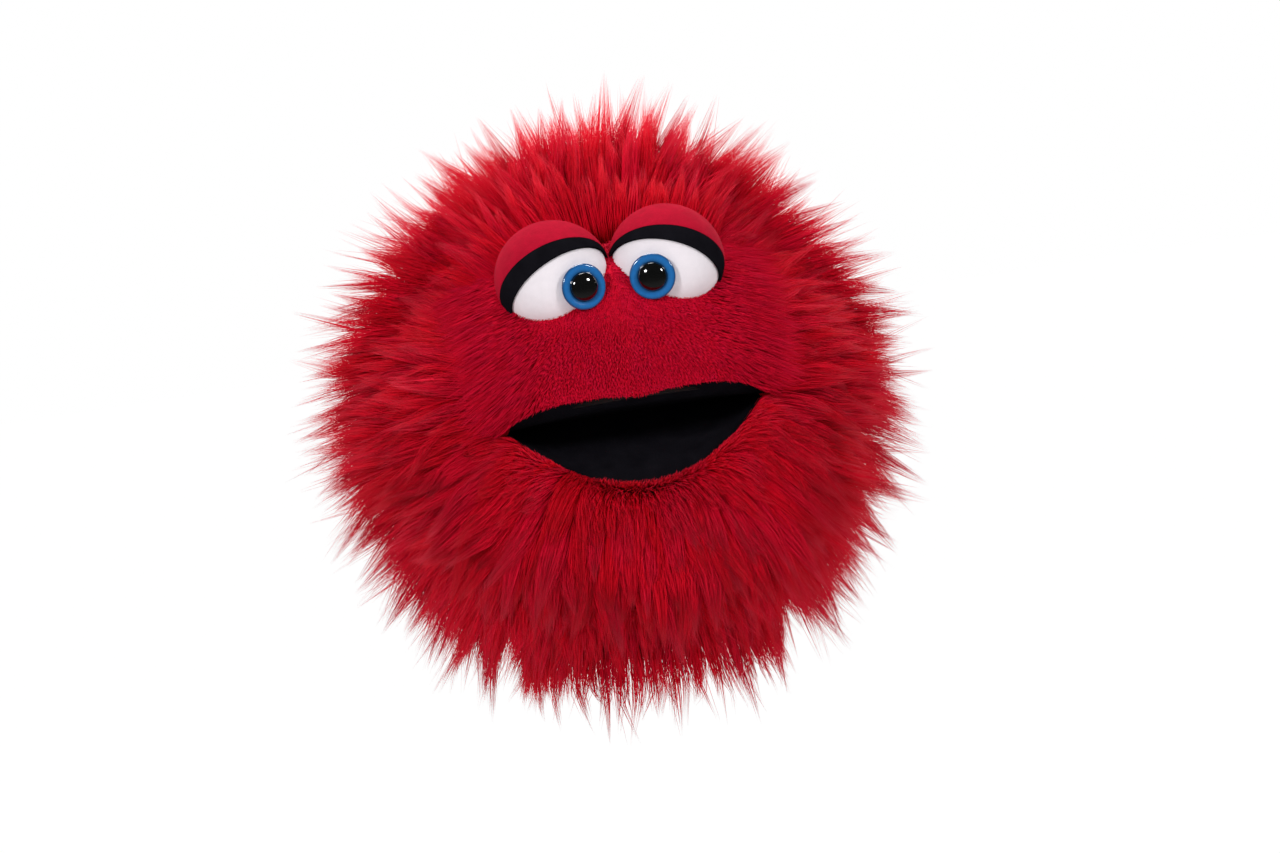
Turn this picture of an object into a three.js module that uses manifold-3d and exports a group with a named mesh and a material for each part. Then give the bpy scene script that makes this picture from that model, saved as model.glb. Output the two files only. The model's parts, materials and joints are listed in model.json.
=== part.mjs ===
// A moving mouth puppet: a furry foam ball with a folding mouth plate, stuffed eyes and a short sleeve.
// Millimetres, +Z up, and the face looks along -Y. The origin is the centre of the arm opening at the hem.

import * as THREE from 'three';
import { mergeVertices } from 'three/addons/utils/BufferGeometryUtils.js';
import Module from 'manifold-3d';

const wasm = await Module();
wasm.setup();

// Driving dimensions
const GAP = 0.4; // clearance between neighbouring pieces
const FAR = 400; // longer than anything here, for cutting tools
const FACETS = { ball: 24, tube: 28, eye: 18, pocket: 16, rod: 16, lips: 16, dome: 4, rings: 0.6 };
const RIGHT_ANGLE = 90;
const SECTOR_STEP = 30; // degrees between the corners of a wedge's far edge

const HEAD = { centre: [0, 0, 110], foam: [88, 80, 88], wall: 11, lining: 1.2 };
const PILE = { centre: [0, 14, 108], radii: [146, 126, 154] }; // the fur's outer shape
const PANEL = { halfWidth: 62, back: 10, underside: 22.6 }; // where the fur panels are sewn together
const HINGE = { y: -30, z: 111.5, halfWidth: 54, radius: 3.4, thickness: 1.2 };
const MOUTH = { upper: 5.8, lower: -33.4, halfWidth: 58, depth: 55, bow: 2.3, back: 7, parting: 1 };
const PLATE = { felt: 1, board: 2 };
const JAW = { halfWidth: 59.5, foamEnd: -62, furEnd: -55, furBottom: 42 };
const SLOT = { halfWidth: 64, back: -105 }; // the way through the head that the jaw moves in
const THROAT = { cloth: 2 };
const FINGERS = { halfWidth: 36, halfHeight: 12, from: -18, to: 27, cloth: 1.6 };
const THUMB = { halfWidth: 17, halfHeight: 12, from: -4, to: 36, cloth: 1.6 };
const GUSSET = { from: 6, to: 50, cloth: 1.2 };
const SLEEVE = { radius: 54, cloth: 2, bottom: 1, top: 15, neckTop: 40, clear: 66 };
const BINDING = { inner: 50.2, outer: 55.8, cloth: 1.4, height: 8 };
const SKIRT = { inner: 56.4, outer: 92, neckOuter: 65.4, neckTop: 38, bottom: -46 };
const MUZZLE = { centre: [0, -39, 132], radii: [66, 50, 42], pile: 7 };
// The part of the face left free of long fur.
const FACE = { z: 160, halfWidth: 61.5, halfHeight: 47, back: -38 };

const EYE = { x: 26.9, y: -51, z: 180.5, radius: 26.6, bulge: 21, lean: 25, splay: 6 };
const LID = { drop: -0.9, fall: 17, slope: 46, cloth: 1.6, clear: 2.4 };
const LASH = { drop: -8, fall: 25, slope: 38, cloth: 1, back: -44 };
const IRIS = { x: 16.2, z: 172.8, radius: 10.7, thickness: 3.2, sunk: 2.1, toe: 12, dip: 3, rim: 0.8 };
const PUPIL = { radius: 6.75, height: 3.4 };
const SHANK = { radius: 2.4, length: 10 };
const WASHER = { radius: 7, thickness: 1.6, behind: 4 };

const SIDES = [
  { name: 'left', sign: -1 },
  { name: 'right', sign: 1 },
];

const vec = (x, y, z) => new THREE.Vector3(x, y, z);
const rad = THREE.MathUtils.degToRad;
const grown = (radii, by) => radii.map((r) => r + by);

// Solids from three.js geometry

function solid(geometry, matrix = new THREE.Matrix4()) {
  const plain = geometry.clone().applyMatrix4(matrix);
  plain.deleteAttribute('normal');
  plain.deleteAttribute('uv');
  const merged = mergeVertices(plain, 1e-4);
  const corners = merged.index.array;
  const faces = [];
  for (let i = 0; i < corners.length; i += 3) {
    const [a, b, c] = corners.subarray(i, i + 3);
    if (a !== b && b !== c && c !== a) faces.push(a, b, c);
  }
  return new wasm.Manifold(
    new wasm.Mesh({
      numProp: 3,
      vertProperties: merged.attributes.position.array,
      triVerts: new Uint32Array(faces),
    }),
  );
}

function ellipsoid(centre, radii) {
  const ball = new THREE.SphereGeometry(1, FACETS.ball, FACETS.ball * FACETS.rings).rotateX(Math.PI / 2);
  ball.scale(...radii).translate(...centre);
  return solid(ball);
}

function block(low, high) {
  const size = high.map((h, i) => h - low[i]);
  const middle = high.map((h, i) => (h + low[i]) / 2);
  return solid(new THREE.BoxGeometry(...size).translate(...middle));
}

// An upright tube or disc whose profile is given as [radius, height] corners, anticlockwise.
function turned(profile, around = FACETS.tube) {
  const points = [...profile, profile[0]].map(([r, z]) => new THREE.Vector2(r, z));
  return solid(new THREE.LatheGeometry(points, around).rotateX(Math.PI / 2));
}

// Directions about the mouth's hinge: an angle of 0 points forwards, and positive angles rise.

const forwards = (angle) => vec(0, -Math.cos(rad(angle)), Math.sin(rad(angle)));
const upwards = (angle) => vec(0, Math.sin(rad(angle)), Math.cos(rad(angle)));
const hingeLine = vec(0, HINGE.y, HINGE.z);

// The frame of a mouth plate: x across, y forwards along the plate, z down through it.
function plateFrame(angle, offset) {
  const frame = new THREE.Matrix4().makeBasis(vec(1, 0, 0), forwards(angle), upwards(angle).negate());
  return frame.setPosition(hingeLine.clone().addScaledVector(upwards(angle), offset));
}

// A slab across the head whose outline is drawn in the side view, [forwards, up] from the hinge.
function sideSlab(outline, halfWidth) {
  const shape = new THREE.Shape(outline.map(([f, u]) => new THREE.Vector2(f, u)));
  const slab = new THREE.ExtrudeGeometry(shape, { depth: 2 * halfWidth, bevelEnabled: false });
  const frame = new THREE.Matrix4().makeBasis(vec(0, -1, 0), vec(0, 0, 1), vec(-1, 0, 0));
  return solid(slab, frame.setPosition(halfWidth, HINGE.y, HINGE.z));
}

// Everything between two directions from the hinge, or from a line that lies off it, square to one edge.
function sector(from, to, halfWidth, offset = 0, edge = to) {
  const lift = upwards(edge).multiplyScalar(offset);
  const apex = [-lift.y, lift.z];
  const steps = Math.ceil((to - from) / SECTOR_STEP);
  const rim = Array.from({ length: steps + 1 }, (_, i) => {
    const angle = rad(from + ((to - from) * i) / steps);
    return [apex[0] + FAR * Math.cos(angle), apex[1] + FAR * Math.sin(angle)];
  });
  return sideSlab([apex, ...rim], halfWidth);
}

// Shapes that several pieces share

const headBall = (by) => ellipsoid(HEAD.centre, grown(HEAD.foam, by));
const pileBall = ellipsoid(PILE.centre, PILE.radii);
const pile = pileBall.subtract(headBall(GAP));
const neckBore = (radius, top) => turned([[0, -FAR], [radius, -FAR], [radius, top], [0, top]]);

const feltTop = MOUTH.parting;
const boardTop = feltTop + PLATE.felt + GAP;
const plateStack = boardTop + PLATE.board + GAP;

// The mouth and the jaw's way through the front of the head, below the upper plate.
const jawSlot = sector(SLOT.back, MOUTH.upper, SLOT.halfWidth, plateStack);

// The head's foam, lining and fur

function headShell(outer, inner) {
  return headBall(outer)
    .subtract(headBall(inner))
    .subtract(jawSlot)
    .subtract(neckBore(SLEEVE.radius + 1, HEAD.centre[2]));
}

const headFoam = headShell(0, -HEAD.wall);
const handLining = headShell(-HEAD.wall - GAP, -HEAD.wall - GAP - HEAD.lining);

// Long fur keeps clear of the sleeve, and below the ball it leaves room for the skirt.
const furClear = neckBore(SKIRT.outer + GAP, PANEL.underside).add(neckBore(SLEEVE.clear, SLEEVE.neckTop));
const longFur = pile.subtract(furClear);

const backFur = longFur.intersect(block([-FAR, PANEL.back + GAP, -FAR], [FAR, FAR, FAR]));

function sideFur(sign) {
  const inner = sign * (PANEL.halfWidth + GAP);
  const span = [Math.min(inner, sign * FAR), Math.max(inner, sign * FAR)];
  return longFur.intersect(block([span[0], -FAR, -FAR], [span[1], PANEL.back, FAR]));
}

const middlePanel = block([-PANEL.halfWidth, -FAR, -FAR], [PANEL.halfWidth, PANEL.back, FAR]);
const upperHalf = 179; // as much of a half turn as a wedge can hold
const aboveMouth = sector(MOUTH.upper, MOUTH.upper + upperHalf, PANEL.halfWidth, GAP, MOUTH.upper);

// The face, seen from the front: a round brow over a straight-sided muzzle.
const faceHole = solid(
  new THREE.CylinderGeometry(1, 1, FAR, FACETS.tube)
    .scale(FACE.halfWidth, 1, FACE.halfHeight)
    .translate(0, FACE.back - FAR / 2, FACE.z),
).add(block([-FACE.halfWidth, FACE.back - FAR, 0], [FACE.halfWidth, FACE.back, FACE.z]));

// Eyes

function eyeAxis(sign) {
  const lean = rad(EYE.lean);
  const splay = rad(EYE.splay);
  return vec(sign * Math.sin(splay) * Math.cos(lean), -Math.cos(splay) * Math.cos(lean), Math.sin(lean));
}

// The frame of an eye or a disc on it: z looks outwards along the axis, and y is as upright as it can be.
function facing(axis, position) {
  const across = vec(0, 0, 1).cross(axis).normalize();
  const up = axis.clone().cross(across);
  return new THREE.Matrix4().makeBasis(across, up, axis).setPosition(position);
}

const eyeFrame = (sign) => facing(eyeAxis(sign), vec(sign * EYE.x, EYE.y, EYE.z));

function eyeBall(sign, by = 0) {
  const round = EYE.radius + by;
  const ball = new THREE.SphereGeometry(1, FACETS.eye, FACETS.eye * FACETS.rings).scale(round, round, EYE.bulge + by);
  return solid(ball, eyeFrame(sign));
}

// One eye's half of the head, so that the two eyes never cross the middle.
function ownSide(sign) {
  const inner = (sign * GAP) / 2;
  const span = [Math.min(inner, sign * FAR), Math.max(inner, sign * FAR)];
  return block([span[0], -FAR, -FAR], [span[1], FAR, FAR]);
}

// The half space above the edge of a lid or lash band, or above a line that lies lower by a distance.
function aboveEdge(sign, edge, lower = 0) {
  const fall = rad(edge.fall);
  const slope = rad(edge.slope);
  const along = vec(Math.cos(fall), 0, -sign * Math.sin(fall));
  const across = vec(sign * Math.sin(fall), 0, Math.cos(fall));
  const rise = across.multiplyScalar(Math.sin(slope)).addScaledVector(vec(0, -1, 0), Math.cos(slope));
  const normal = along.cross(rise).normalize();
  if (normal.z < 0) normal.negate();
  const middle = vec(sign * EYE.x, EYE.y, EYE.z + edge.drop).addScaledVector(normal, -lower);
  const box = new THREE.BoxGeometry(FAR, FAR, FAR).translate(0, 0, FAR / 2);
  return solid(box, facing(normal, middle));
}

// The point of the stuffed eye that is seen at x, z from the front.
function frontOfEye(sign, x, z) {
  const into = eyeFrame(sign).invert();
  const start = vec(x, 0, z).applyMatrix4(into);
  const way = vec(0, -1, 0).transformDirection(into);
  const squash = vec(1 / EYE.radius, 1 / EYE.radius, 1 / EYE.bulge);
  start.multiply(squash);
  way.multiply(squash);
  const half = start.dot(way);
  const reach = (-half + Math.sqrt(half * half - way.dot(way) * (start.dot(start) - 1))) / way.dot(way);
  return vec(x, -reach, z);
}

// A disc's frame: z looks out of the eye, and the origin is on the stuffed eye's surface.
function irisFrame(sign) {
  const toe = rad(IRIS.toe);
  const dip = rad(IRIS.dip);
  const out = vec(-sign * Math.sin(toe) * Math.cos(dip), -Math.cos(toe) * Math.cos(dip), -Math.sin(dip));
  return facing(out, frontOfEye(sign, sign * IRIS.x, IRIS.z));
}

// A round piece of the plastic eye: [radius, distance out of the surface] corners.
function eyeDisc(sign, profile) {
  const points = [...profile, profile[0]].map(([r, out]) => new THREE.Vector2(r, out));
  return solid(new THREE.LatheGeometry(points, FACETS.eye).rotateX(Math.PI / 2), irisFrame(sign));
}

const irisBack = -IRIS.sunk;
const irisFront = irisBack + IRIS.thickness;
const washerBack = irisBack - WASHER.behind - WASHER.thickness;

function iris(sign) {
  return eyeDisc(sign, [
    [0, irisBack],
    [IRIS.radius - IRIS.rim, irisBack],
    [IRIS.radius, irisBack + IRIS.rim],
    [IRIS.radius, irisFront - IRIS.rim],
    [IRIS.radius - IRIS.rim, irisFront],
    [0, irisFront],
  ]);
}

function pupil(sign) {
  const base = irisFront + GAP / 2;
  const dome = Array.from({ length: FACETS.dome + 1 }, (_, i) => {
    const turn = (i / FACETS.dome) * rad(RIGHT_ANGLE);
    return [PUPIL.radius * Math.cos(turn), base + PUPIL.height * Math.sin(turn)];
  });
  dome[dome.length - 1][0] = 0;
  return eyeDisc(sign, [[0, base], ...dome]);
}

const eyeCylinder = (sign, radius, back, front) =>
  eyeDisc(sign, [[0, back], [radius, back], [radius, front], [0, front]]);

const shank = (sign) =>
  eyeCylinder(sign, SHANK.radius, irisBack - GAP / 2 - SHANK.length, irisBack - GAP / 2);

function washer(sign) {
  return eyeCylinder(sign, WASHER.radius, washerBack, washerBack + WASHER.thickness).subtract(
    eyeCylinder(sign, SHANK.radius + GAP / 2, -FAR, FAR),
  );
}

// The room that the plastic eye takes up in the stuffed one.
function eyeRoom(sign) {
  return eyeCylinder(sign, IRIS.radius + GAP, irisBack - GAP, FAR)
    .add(eyeCylinder(sign, SHANK.radius + GAP, irisBack - SHANK.length - 2 * GAP, 0))
    .add(eyeCylinder(sign, WASHER.radius + GAP, washerBack - GAP, washerBack + WASHER.thickness + GAP));
}

const trimmedEye = (sign, shape) => shape.subtract(headBall(GAP)).intersect(ownSide(sign));

const eyePad = (sign) => trimmedEye(sign, eyeBall(sign).subtract(eyeRoom(sign)));

function eyelid(sign) {
  const cover = eyeBall(sign, GAP / 2 + LID.cloth).subtract(eyeBall(sign, GAP / 2));
  return trimmedEye(sign, cover.intersect(aboveEdge(sign, LID)));
}

function lashBand(sign) {
  const cover = eyeBall(sign, GAP / 2 + LASH.cloth).subtract(eyeBall(sign, GAP / 2));
  const strip = aboveEdge(sign, LASH).subtract(aboveEdge(sign, LID, GAP));
  const front = block([-FAR, -FAR, -FAR], [FAR, LASH.back, FAR]);
  return trimmedEye(sign, cover.intersect(strip).intersect(front).subtract(eyeRoom(sign)));
}

const eyesClear = SIDES.map(({ sign }) => {
  return eyeBall(sign, LID.clear).add(eyeCylinder(sign, IRIS.radius + GAP, irisBack, FAR));
}).reduce((all, one) => all.add(one));

const crownFur = longFur
  .intersect(middlePanel)
  .intersect(block([-FAR, -FAR, HEAD.centre[2]], [FAR, FAR, FAR]))
  .subtract(faceHole)
  .subtract(eyesClear);

// The short plush between the eyes and the mouth.
function muzzlePlush() {
  const bulge = ellipsoid(MUZZLE.centre, MUZZLE.radii).add(headBall(MUZZLE.pile));
  const top = MUZZLE.centre[2] + MUZZLE.radii[2];
  const face = faceHole.intersect(block([-FAR, -FAR, 0], [FAR, FACE.back - 2, top]));
  const plate = mouthPlate(MOUTH.upper, feltTop - GAP, plateStack, GAP);
  return bulge.subtract(headBall(GAP)).intersect(face).intersect(aboveMouth).subtract(eyesClear).subtract(plate);
}

// Mouth plates

// A plate's outline: straight at the hinge and bowed round the lips.
function plateOutline(margin = 0) {
  const halfWidth = MOUTH.halfWidth * (1 - MOUTH.back / MOUTH.depth) ** (1 / MOUTH.bow) + margin;
  const lips = Array.from({ length: FACETS.lips + 1 }, (_, i) => {
    const x = halfWidth * (1 - (2 * i) / FACETS.lips);
    const reach = MOUTH.depth * (1 - Math.abs(x / (MOUTH.halfWidth + margin)) ** MOUTH.bow);
    return new THREE.Vector2(x, Math.max(reach, MOUTH.back) + margin);
  });
  return new THREE.Shape([
    new THREE.Vector2(-halfWidth, MOUTH.back - 1 - margin),
    new THREE.Vector2(halfWidth, MOUTH.back - 1 - margin),
    ...lips,
  ]);
}

function mouthPlate(angle, bottom, thickness, margin = 0) {
  const plate = new THREE.ExtrudeGeometry(plateOutline(margin), { depth: thickness, bevelEnabled: false });
  return solid(plate, plateFrame(angle, bottom + thickness));
}

// A cloth pocket on a plate, open at the back and closed at the fingertips.
function pocket(angle, size, offset) {
  const tube = (by, from, to) => {
    const middle = (from + to) / 2;
    const cylinder = new THREE.CylinderGeometry(1, 1, to - from, FACETS.pocket);
    cylinder.scale(size.halfWidth + by, 1, size.halfHeight + by).translate(0, middle, 0);
    return solid(cylinder, plateFrame(angle, offset));
  };
  return tube(0, size.from, size.to).subtract(tube(-size.cloth, -FAR, size.to - size.cloth));
}

const pocketLift = (size) => plateStack + size.halfHeight;

// The tape that folds behind the two plates: a gutter, open towards the mouth.
function hingeTape() {
  const outer = HINGE.radius + HINGE.thickness;
  const rod = (radius, halfWidth) =>
    solid(
      new THREE.CylinderGeometry(radius, radius, 2 * halfWidth, FACETS.rod)
        .rotateZ(Math.PI / 2)
        .translate(0, HINGE.y, HINGE.z),
    );
  const front = block([-FAR, -FAR, -FAR], [FAR, HINGE.y + 0.5, FAR]);
  return rod(outer, HINGE.halfWidth).subtract(rod(HINGE.radius, FAR)).subtract(front);
}

// The cloth that closes the side of the mouth between the two plates.
function cheekGusset(sign) {
  const ring = (radius) => {
    const disc = new THREE.CylinderGeometry(radius, radius, GUSSET.cloth, FACETS.tube);
    return disc.rotateZ(Math.PI / 2).translate(sign * (PANEL.halfWidth - GUSSET.cloth), HINGE.y, HINGE.z);
  };
  return solid(ring(GUSSET.to)).subtract(solid(ring(GUSSET.from)))
    .intersect(sector(MOUTH.lower, MOUTH.upper, FAR));
}

// Jaw

const jawFoam = headBall(0)
  .subtract(headBall(-HEAD.wall))
  .intersect(sector(JAW.foamEnd, MOUTH.lower, JAW.halfWidth, -plateStack))
  .intersect(sector(JAW.foamEnd, JAW.foamEnd + RIGHT_ANGLE, JAW.halfWidth));

const chinSpace = (by) =>
  sector(JAW.furEnd - 10, MOUTH.lower, JAW.halfWidth + by, -plateStack + by)
    .intersect(sector(JAW.furEnd, JAW.furEnd + RIGHT_ANGLE, FAR, -by, JAW.furEnd))
    .intersect(block([-FAR, -FAR, JAW.furBottom - by], [FAR, FAR, FAR]));

const chinFur = pile.intersect(chinSpace(0));

// The soft throat between the jaw, the two sides and the sleeve.
const belowMouth = sector(-180, MOUTH.lower, PANEL.halfWidth, -plateStack);
const throatPanel = middlePanel.intersect(belowMouth).subtract(chinSpace(2 * GAP));

const throatGusset = headBall(GAP + THROAT.cloth)
  .subtract(headBall(GAP))
  .intersect(throatPanel)
  .subtract(neckBore(SLEEVE.radius + 1, HEAD.centre[2]));

const throatFur = longFur.subtract(headBall(2 * GAP + THROAT.cloth)).intersect(throatPanel);

// Sleeve

const tube = (inner, outer, bottom, top) =>
  turned([[inner, bottom], [outer, bottom], [outer, top], [inner, top]]);

const sleeveInner = SLEEVE.radius - SLEEVE.cloth;
const sleeveCloth = tube(sleeveInner, SLEEVE.radius, SLEEVE.bottom + BINDING.cloth, SLEEVE.top);
const neckCloth = tube(sleeveInner, SLEEVE.radius, SLEEVE.top + GAP, SLEEVE.neckTop);

// A strip folded over the sleeve's edge, whose flat underside is the arm opening's rim.
const hemBinding = turned([
  [BINDING.inner, 0],
  [BINDING.outer, 0],
  [BINDING.outer, BINDING.height],
  [BINDING.outer - BINDING.cloth, BINDING.height],
  [BINDING.outer - BINDING.cloth, BINDING.cloth],
  [BINDING.inner + BINDING.cloth, BINDING.cloth],
  [BINDING.inner + BINDING.cloth, BINDING.height],
  [BINDING.inner, BINDING.height],
]);

const skirtFur = turned([
  [SKIRT.inner, SKIRT.bottom],
  [SKIRT.outer, SKIRT.bottom],
  [SKIRT.outer, PANEL.underside - GAP],
  [SKIRT.neckOuter, PANEL.underside - GAP],
  [SKIRT.neckOuter, SKIRT.neckTop],
  [SKIRT.inner, SKIRT.neckTop],
]).intersect(pileBall).subtract(headBall(3 * GAP + THROAT.cloth));

// Materials

const finish = (color, roughness, metalness = 0) => new THREE.MeshStandardMaterial({ color, roughness, metalness });

const RED_FUR = finish('#b0082a', 0.75);
const RED_PLUSH = finish('#a80a26', 0.9);
const RED_FELT = finish('#b5102c', 0.95);
const RED_KNIT = finish('#8f0d22', 0.9);
const BLACK_FELT = finish('#0a0a0c', 0.98);
const WHITE_FLEECE = finish('#ece6ea', 0.95);
const BLUE_PLASTIC = finish('#1f6fb4', 0.25);
const BLACK_PLASTIC = finish('#050505', 0.08);
const CLEAR_PLASTIC = finish('#dcdcd6', 0.4);
const FOAM = finish('#d9cfa8', 0.95);
const BOARD = finish('#3b3b3b', 0.8);

// Assembly: the head, with the jaw and the sleeve as groups of their own.

function mesh(name, shape, material) {
  const { numProp, vertProperties, triVerts } = shape.getMesh();
  const geometry = new THREE.BufferGeometry();
  geometry.setAttribute('position', new THREE.BufferAttribute(new Float32Array(vertProperties), numProp));
  geometry.setIndex(new THREE.BufferAttribute(new Uint32Array(triVerts), 1));
  geometry.computeVertexNormals();
  const piece = new THREE.Mesh(geometry, material);
  piece.name = name;
  return piece;
}

const head = new THREE.Group();
head.add(
  mesh('head_foam', headFoam, FOAM),
  mesh('hand_lining', handLining, RED_KNIT),
  mesh('back_fur', backFur, RED_FUR),
  mesh('crown_fur', crownFur, RED_FUR),
  mesh('muzzle_plush', muzzlePlush(), RED_PLUSH),
  mesh('upper_mouth_felt', mouthPlate(MOUTH.upper, feltTop, PLATE.felt), BLACK_FELT),
  mesh('upper_mouth_board', mouthPlate(MOUTH.upper, boardTop, PLATE.board), BOARD),
  mesh('finger_pocket', pocket(MOUTH.upper, FINGERS, pocketLift(FINGERS)), RED_KNIT),
  mesh('mouth_hinge_tape', hingeTape(), BLACK_FELT),
  mesh('throat_gusset', throatGusset, RED_KNIT),
  mesh('throat_fur', throatFur, RED_FUR),
);

for (const { name, sign } of SIDES) {
  head.add(
    mesh(`${name}_side_fur`, sideFur(sign), RED_FUR),
    mesh(`${name}_cheek_gusset`, cheekGusset(sign), BLACK_FELT),
    mesh(`${name}_eye_pad`, eyePad(sign), WHITE_FLEECE),
    mesh(`${name}_eyelid`, eyelid(sign), RED_FELT),
    mesh(`${name}_lash_band`, lashBand(sign), BLACK_FELT),
    mesh(`${name}_iris`, iris(sign), BLUE_PLASTIC),
    mesh(`${name}_pupil`, pupil(sign), BLACK_PLASTIC),
    mesh(`${name}_eye_shank`, shank(sign), CLEAR_PLASTIC),
    mesh(`${name}_eye_washer`, washer(sign), CLEAR_PLASTIC),
  );
}

const lowerPlate = (name, top, thickness, material) =>
  mesh(name, mouthPlate(MOUTH.lower, -top - thickness, thickness), material);

const jaw = new THREE.Group();
jaw.add(
  mesh('jaw_foam', jawFoam, FOAM),
  mesh('chin_fur', chinFur, RED_FUR),
  lowerPlate('lower_mouth_felt', feltTop, PLATE.felt, BLACK_FELT),
  lowerPlate('lower_mouth_board', boardTop, PLATE.board, BOARD),
  mesh('thumb_pocket', pocket(MOUTH.lower, THUMB, -pocketLift(THUMB)), RED_KNIT),
);

const sleeve = new THREE.Group();
sleeve.add(
  mesh('sleeve_cloth', sleeveCloth, RED_KNIT),
  mesh('neck_cloth', neckCloth, RED_KNIT),
  mesh('hem_binding', hemBinding, RED_KNIT),
  mesh('skirt_fur', skirtFur, RED_FUR),
);

const puppet = new THREE.Group();
puppet.add(head, jaw, sleeve);

export default puppet;
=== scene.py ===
"""Looks of a moving mouth puppet: long combed fur, a plush muzzle, felt-lidded eyes and a black mouth."""

import json
import math

import bmesh
import bpy
import numpy as np
from bpy.props import FloatProperty, FloatVectorProperty, IntProperty, PointerProperty
from mathutils import Matrix, Vector


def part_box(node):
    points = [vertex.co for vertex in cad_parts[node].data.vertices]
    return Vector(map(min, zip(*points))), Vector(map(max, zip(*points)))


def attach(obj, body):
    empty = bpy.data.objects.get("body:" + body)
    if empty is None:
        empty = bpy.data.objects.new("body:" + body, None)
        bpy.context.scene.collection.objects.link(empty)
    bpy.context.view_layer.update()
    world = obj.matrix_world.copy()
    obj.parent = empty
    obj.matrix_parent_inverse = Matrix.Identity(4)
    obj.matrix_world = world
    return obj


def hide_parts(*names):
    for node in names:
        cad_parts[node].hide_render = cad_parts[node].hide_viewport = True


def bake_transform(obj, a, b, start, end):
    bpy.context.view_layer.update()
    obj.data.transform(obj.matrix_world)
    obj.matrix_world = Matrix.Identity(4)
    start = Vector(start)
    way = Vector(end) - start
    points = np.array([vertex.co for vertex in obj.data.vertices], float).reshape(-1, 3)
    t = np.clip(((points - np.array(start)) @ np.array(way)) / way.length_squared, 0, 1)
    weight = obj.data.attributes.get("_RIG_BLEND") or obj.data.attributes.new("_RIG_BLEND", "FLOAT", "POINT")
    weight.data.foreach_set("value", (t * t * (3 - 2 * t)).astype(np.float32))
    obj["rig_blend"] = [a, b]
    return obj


bl_info = {
    "name": "Mouth puppet",
    "version": (1, 0, 0),
    "blender": (4, 5, 0),
    "location": "View3D > Sidebar > Puppet",
    "description": "Builds a long-fur hand puppet with a mouth that opens, piece by piece",
    "category": "Object",
}

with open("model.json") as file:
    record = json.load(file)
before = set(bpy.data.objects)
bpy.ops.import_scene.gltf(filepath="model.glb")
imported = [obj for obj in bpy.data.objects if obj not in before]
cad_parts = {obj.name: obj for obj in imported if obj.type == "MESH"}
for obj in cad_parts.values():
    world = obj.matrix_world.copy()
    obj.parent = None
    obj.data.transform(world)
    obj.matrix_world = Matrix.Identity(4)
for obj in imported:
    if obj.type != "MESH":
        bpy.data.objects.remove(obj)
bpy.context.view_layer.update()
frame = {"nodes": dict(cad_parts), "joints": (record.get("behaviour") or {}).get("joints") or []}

MM = 0.001
HINGE = next(j for j in frame["joints"] if j["name"] == "jaw_hinge")["pos_m"]
HINGE_Y, HINGE_Z = HINGE[1] / MM, HINGE[2] / MM
FOAM_HIGH = np.array(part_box("head_foam")[1]) / MM
SLEEVE_HIGH = np.array(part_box("sleeve_cloth")[1]) / MM
SIDES = (("left", -1), ("right", 1))
DOWN = np.array([0.0, 0.0, -1.0])
LOCK_TONES, HAIR_TONES = 32, 256  # steps of tone across the fur's map
FUR_MAP = "OFBake"  # the fur's own map: across it the locks differ, and up it a hair runs from root to tip

# Sizes in millimetres, in the frame's own axes
HEAD_Z = FOAM_HIGH[2] - 88  # the ball's centre
SKIN = np.array([FOAM_HIGH[0] + 1.6, FOAM_HIGH[1] + 2.0, 89.6])  # half the ball's width, depth and height
FACE_HALF, BROW_Z, BROW_RISE, FACE_BACK = 60.5, 160.0, 45.0, -36.0
LIP_HALF, UPPER_RISE, UPPER_DIP, LOWER_DROP = 61.0, 9.5, 1.8, 32.3
LIP_SNAP = 0.9  # points of the cloth this near the lower lip are moved onto it
PLATE_RISE = 5.9  # how far the roof of the mouth rises from the hinge to the lip
NECK_RADIUS, NECK_TOP = SLEEVE_HIGH[0], 45.0
NECK_HOLE_Z = HEAD_Z - 30  # below this the ball's cloth is open round the neck
RADIAL_Z = 122.0  # the height in the face that the fur is combed away from


# Small tools -------------------------------------------------------------------------------------


def smoothstep(low, high, value):
    t = np.clip((value - low) / (high - low), 0, 1)
    return t * t * (3 - 2 * t)


def unit(v):
    return v / np.maximum(np.linalg.norm(v, axis=-1, keepdims=True), 1e-9)


def add_object(name, mesh, material=None):
    piece = bpy.data.objects.new(name, mesh)
    bpy.context.scene.collection.objects.link(piece)
    if material:
        piece.data.materials.clear()
        piece.data.materials.append(material)
    return piece


def mesh_from(points, faces):
    """A smooth-shaded mesh from points in millimetres."""
    mesh = bpy.data.meshes.new("piece")
    mesh.from_pydata((np.asarray(points, float) * MM).tolist(), [], [tuple(f) for f in faces])
    mesh.update()
    mesh.shade_smooth()
    return mesh


def grid_faces(rows, across):
    """The squares between rows of points."""
    return [
        (r * across + c, r * across + c + 1, (r + 1) * across + c + 1, (r + 1) * across + c)
        for r in range(rows - 1)
        for c in range(across - 1)
    ]


def ring_steps(rings, around):
    """The numbers of each point and of the next one round its ring."""
    for ring in rings:
        for step in range(around):
            yield ring * around + step, ring * around + (step + 1) % around


def recalculate(mesh, merge=1e-5):
    """Merges doubles and points every face outwards."""
    work = bmesh.new()
    work.from_mesh(mesh)
    bmesh.ops.remove_doubles(work, verts=work.verts, dist=merge)
    bmesh.ops.recalc_face_normals(work, faces=work.faces)
    work.to_mesh(mesh)
    work.free()


def applied(piece):
    """The piece with its modifiers turned into plain mesh."""
    depsgraph = bpy.context.evaluated_depsgraph_get()
    mesh = bpy.data.meshes.new_from_object(piece.evaluated_get(depsgraph))
    piece.modifiers.clear()
    piece.data = mesh
    return piece


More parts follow.
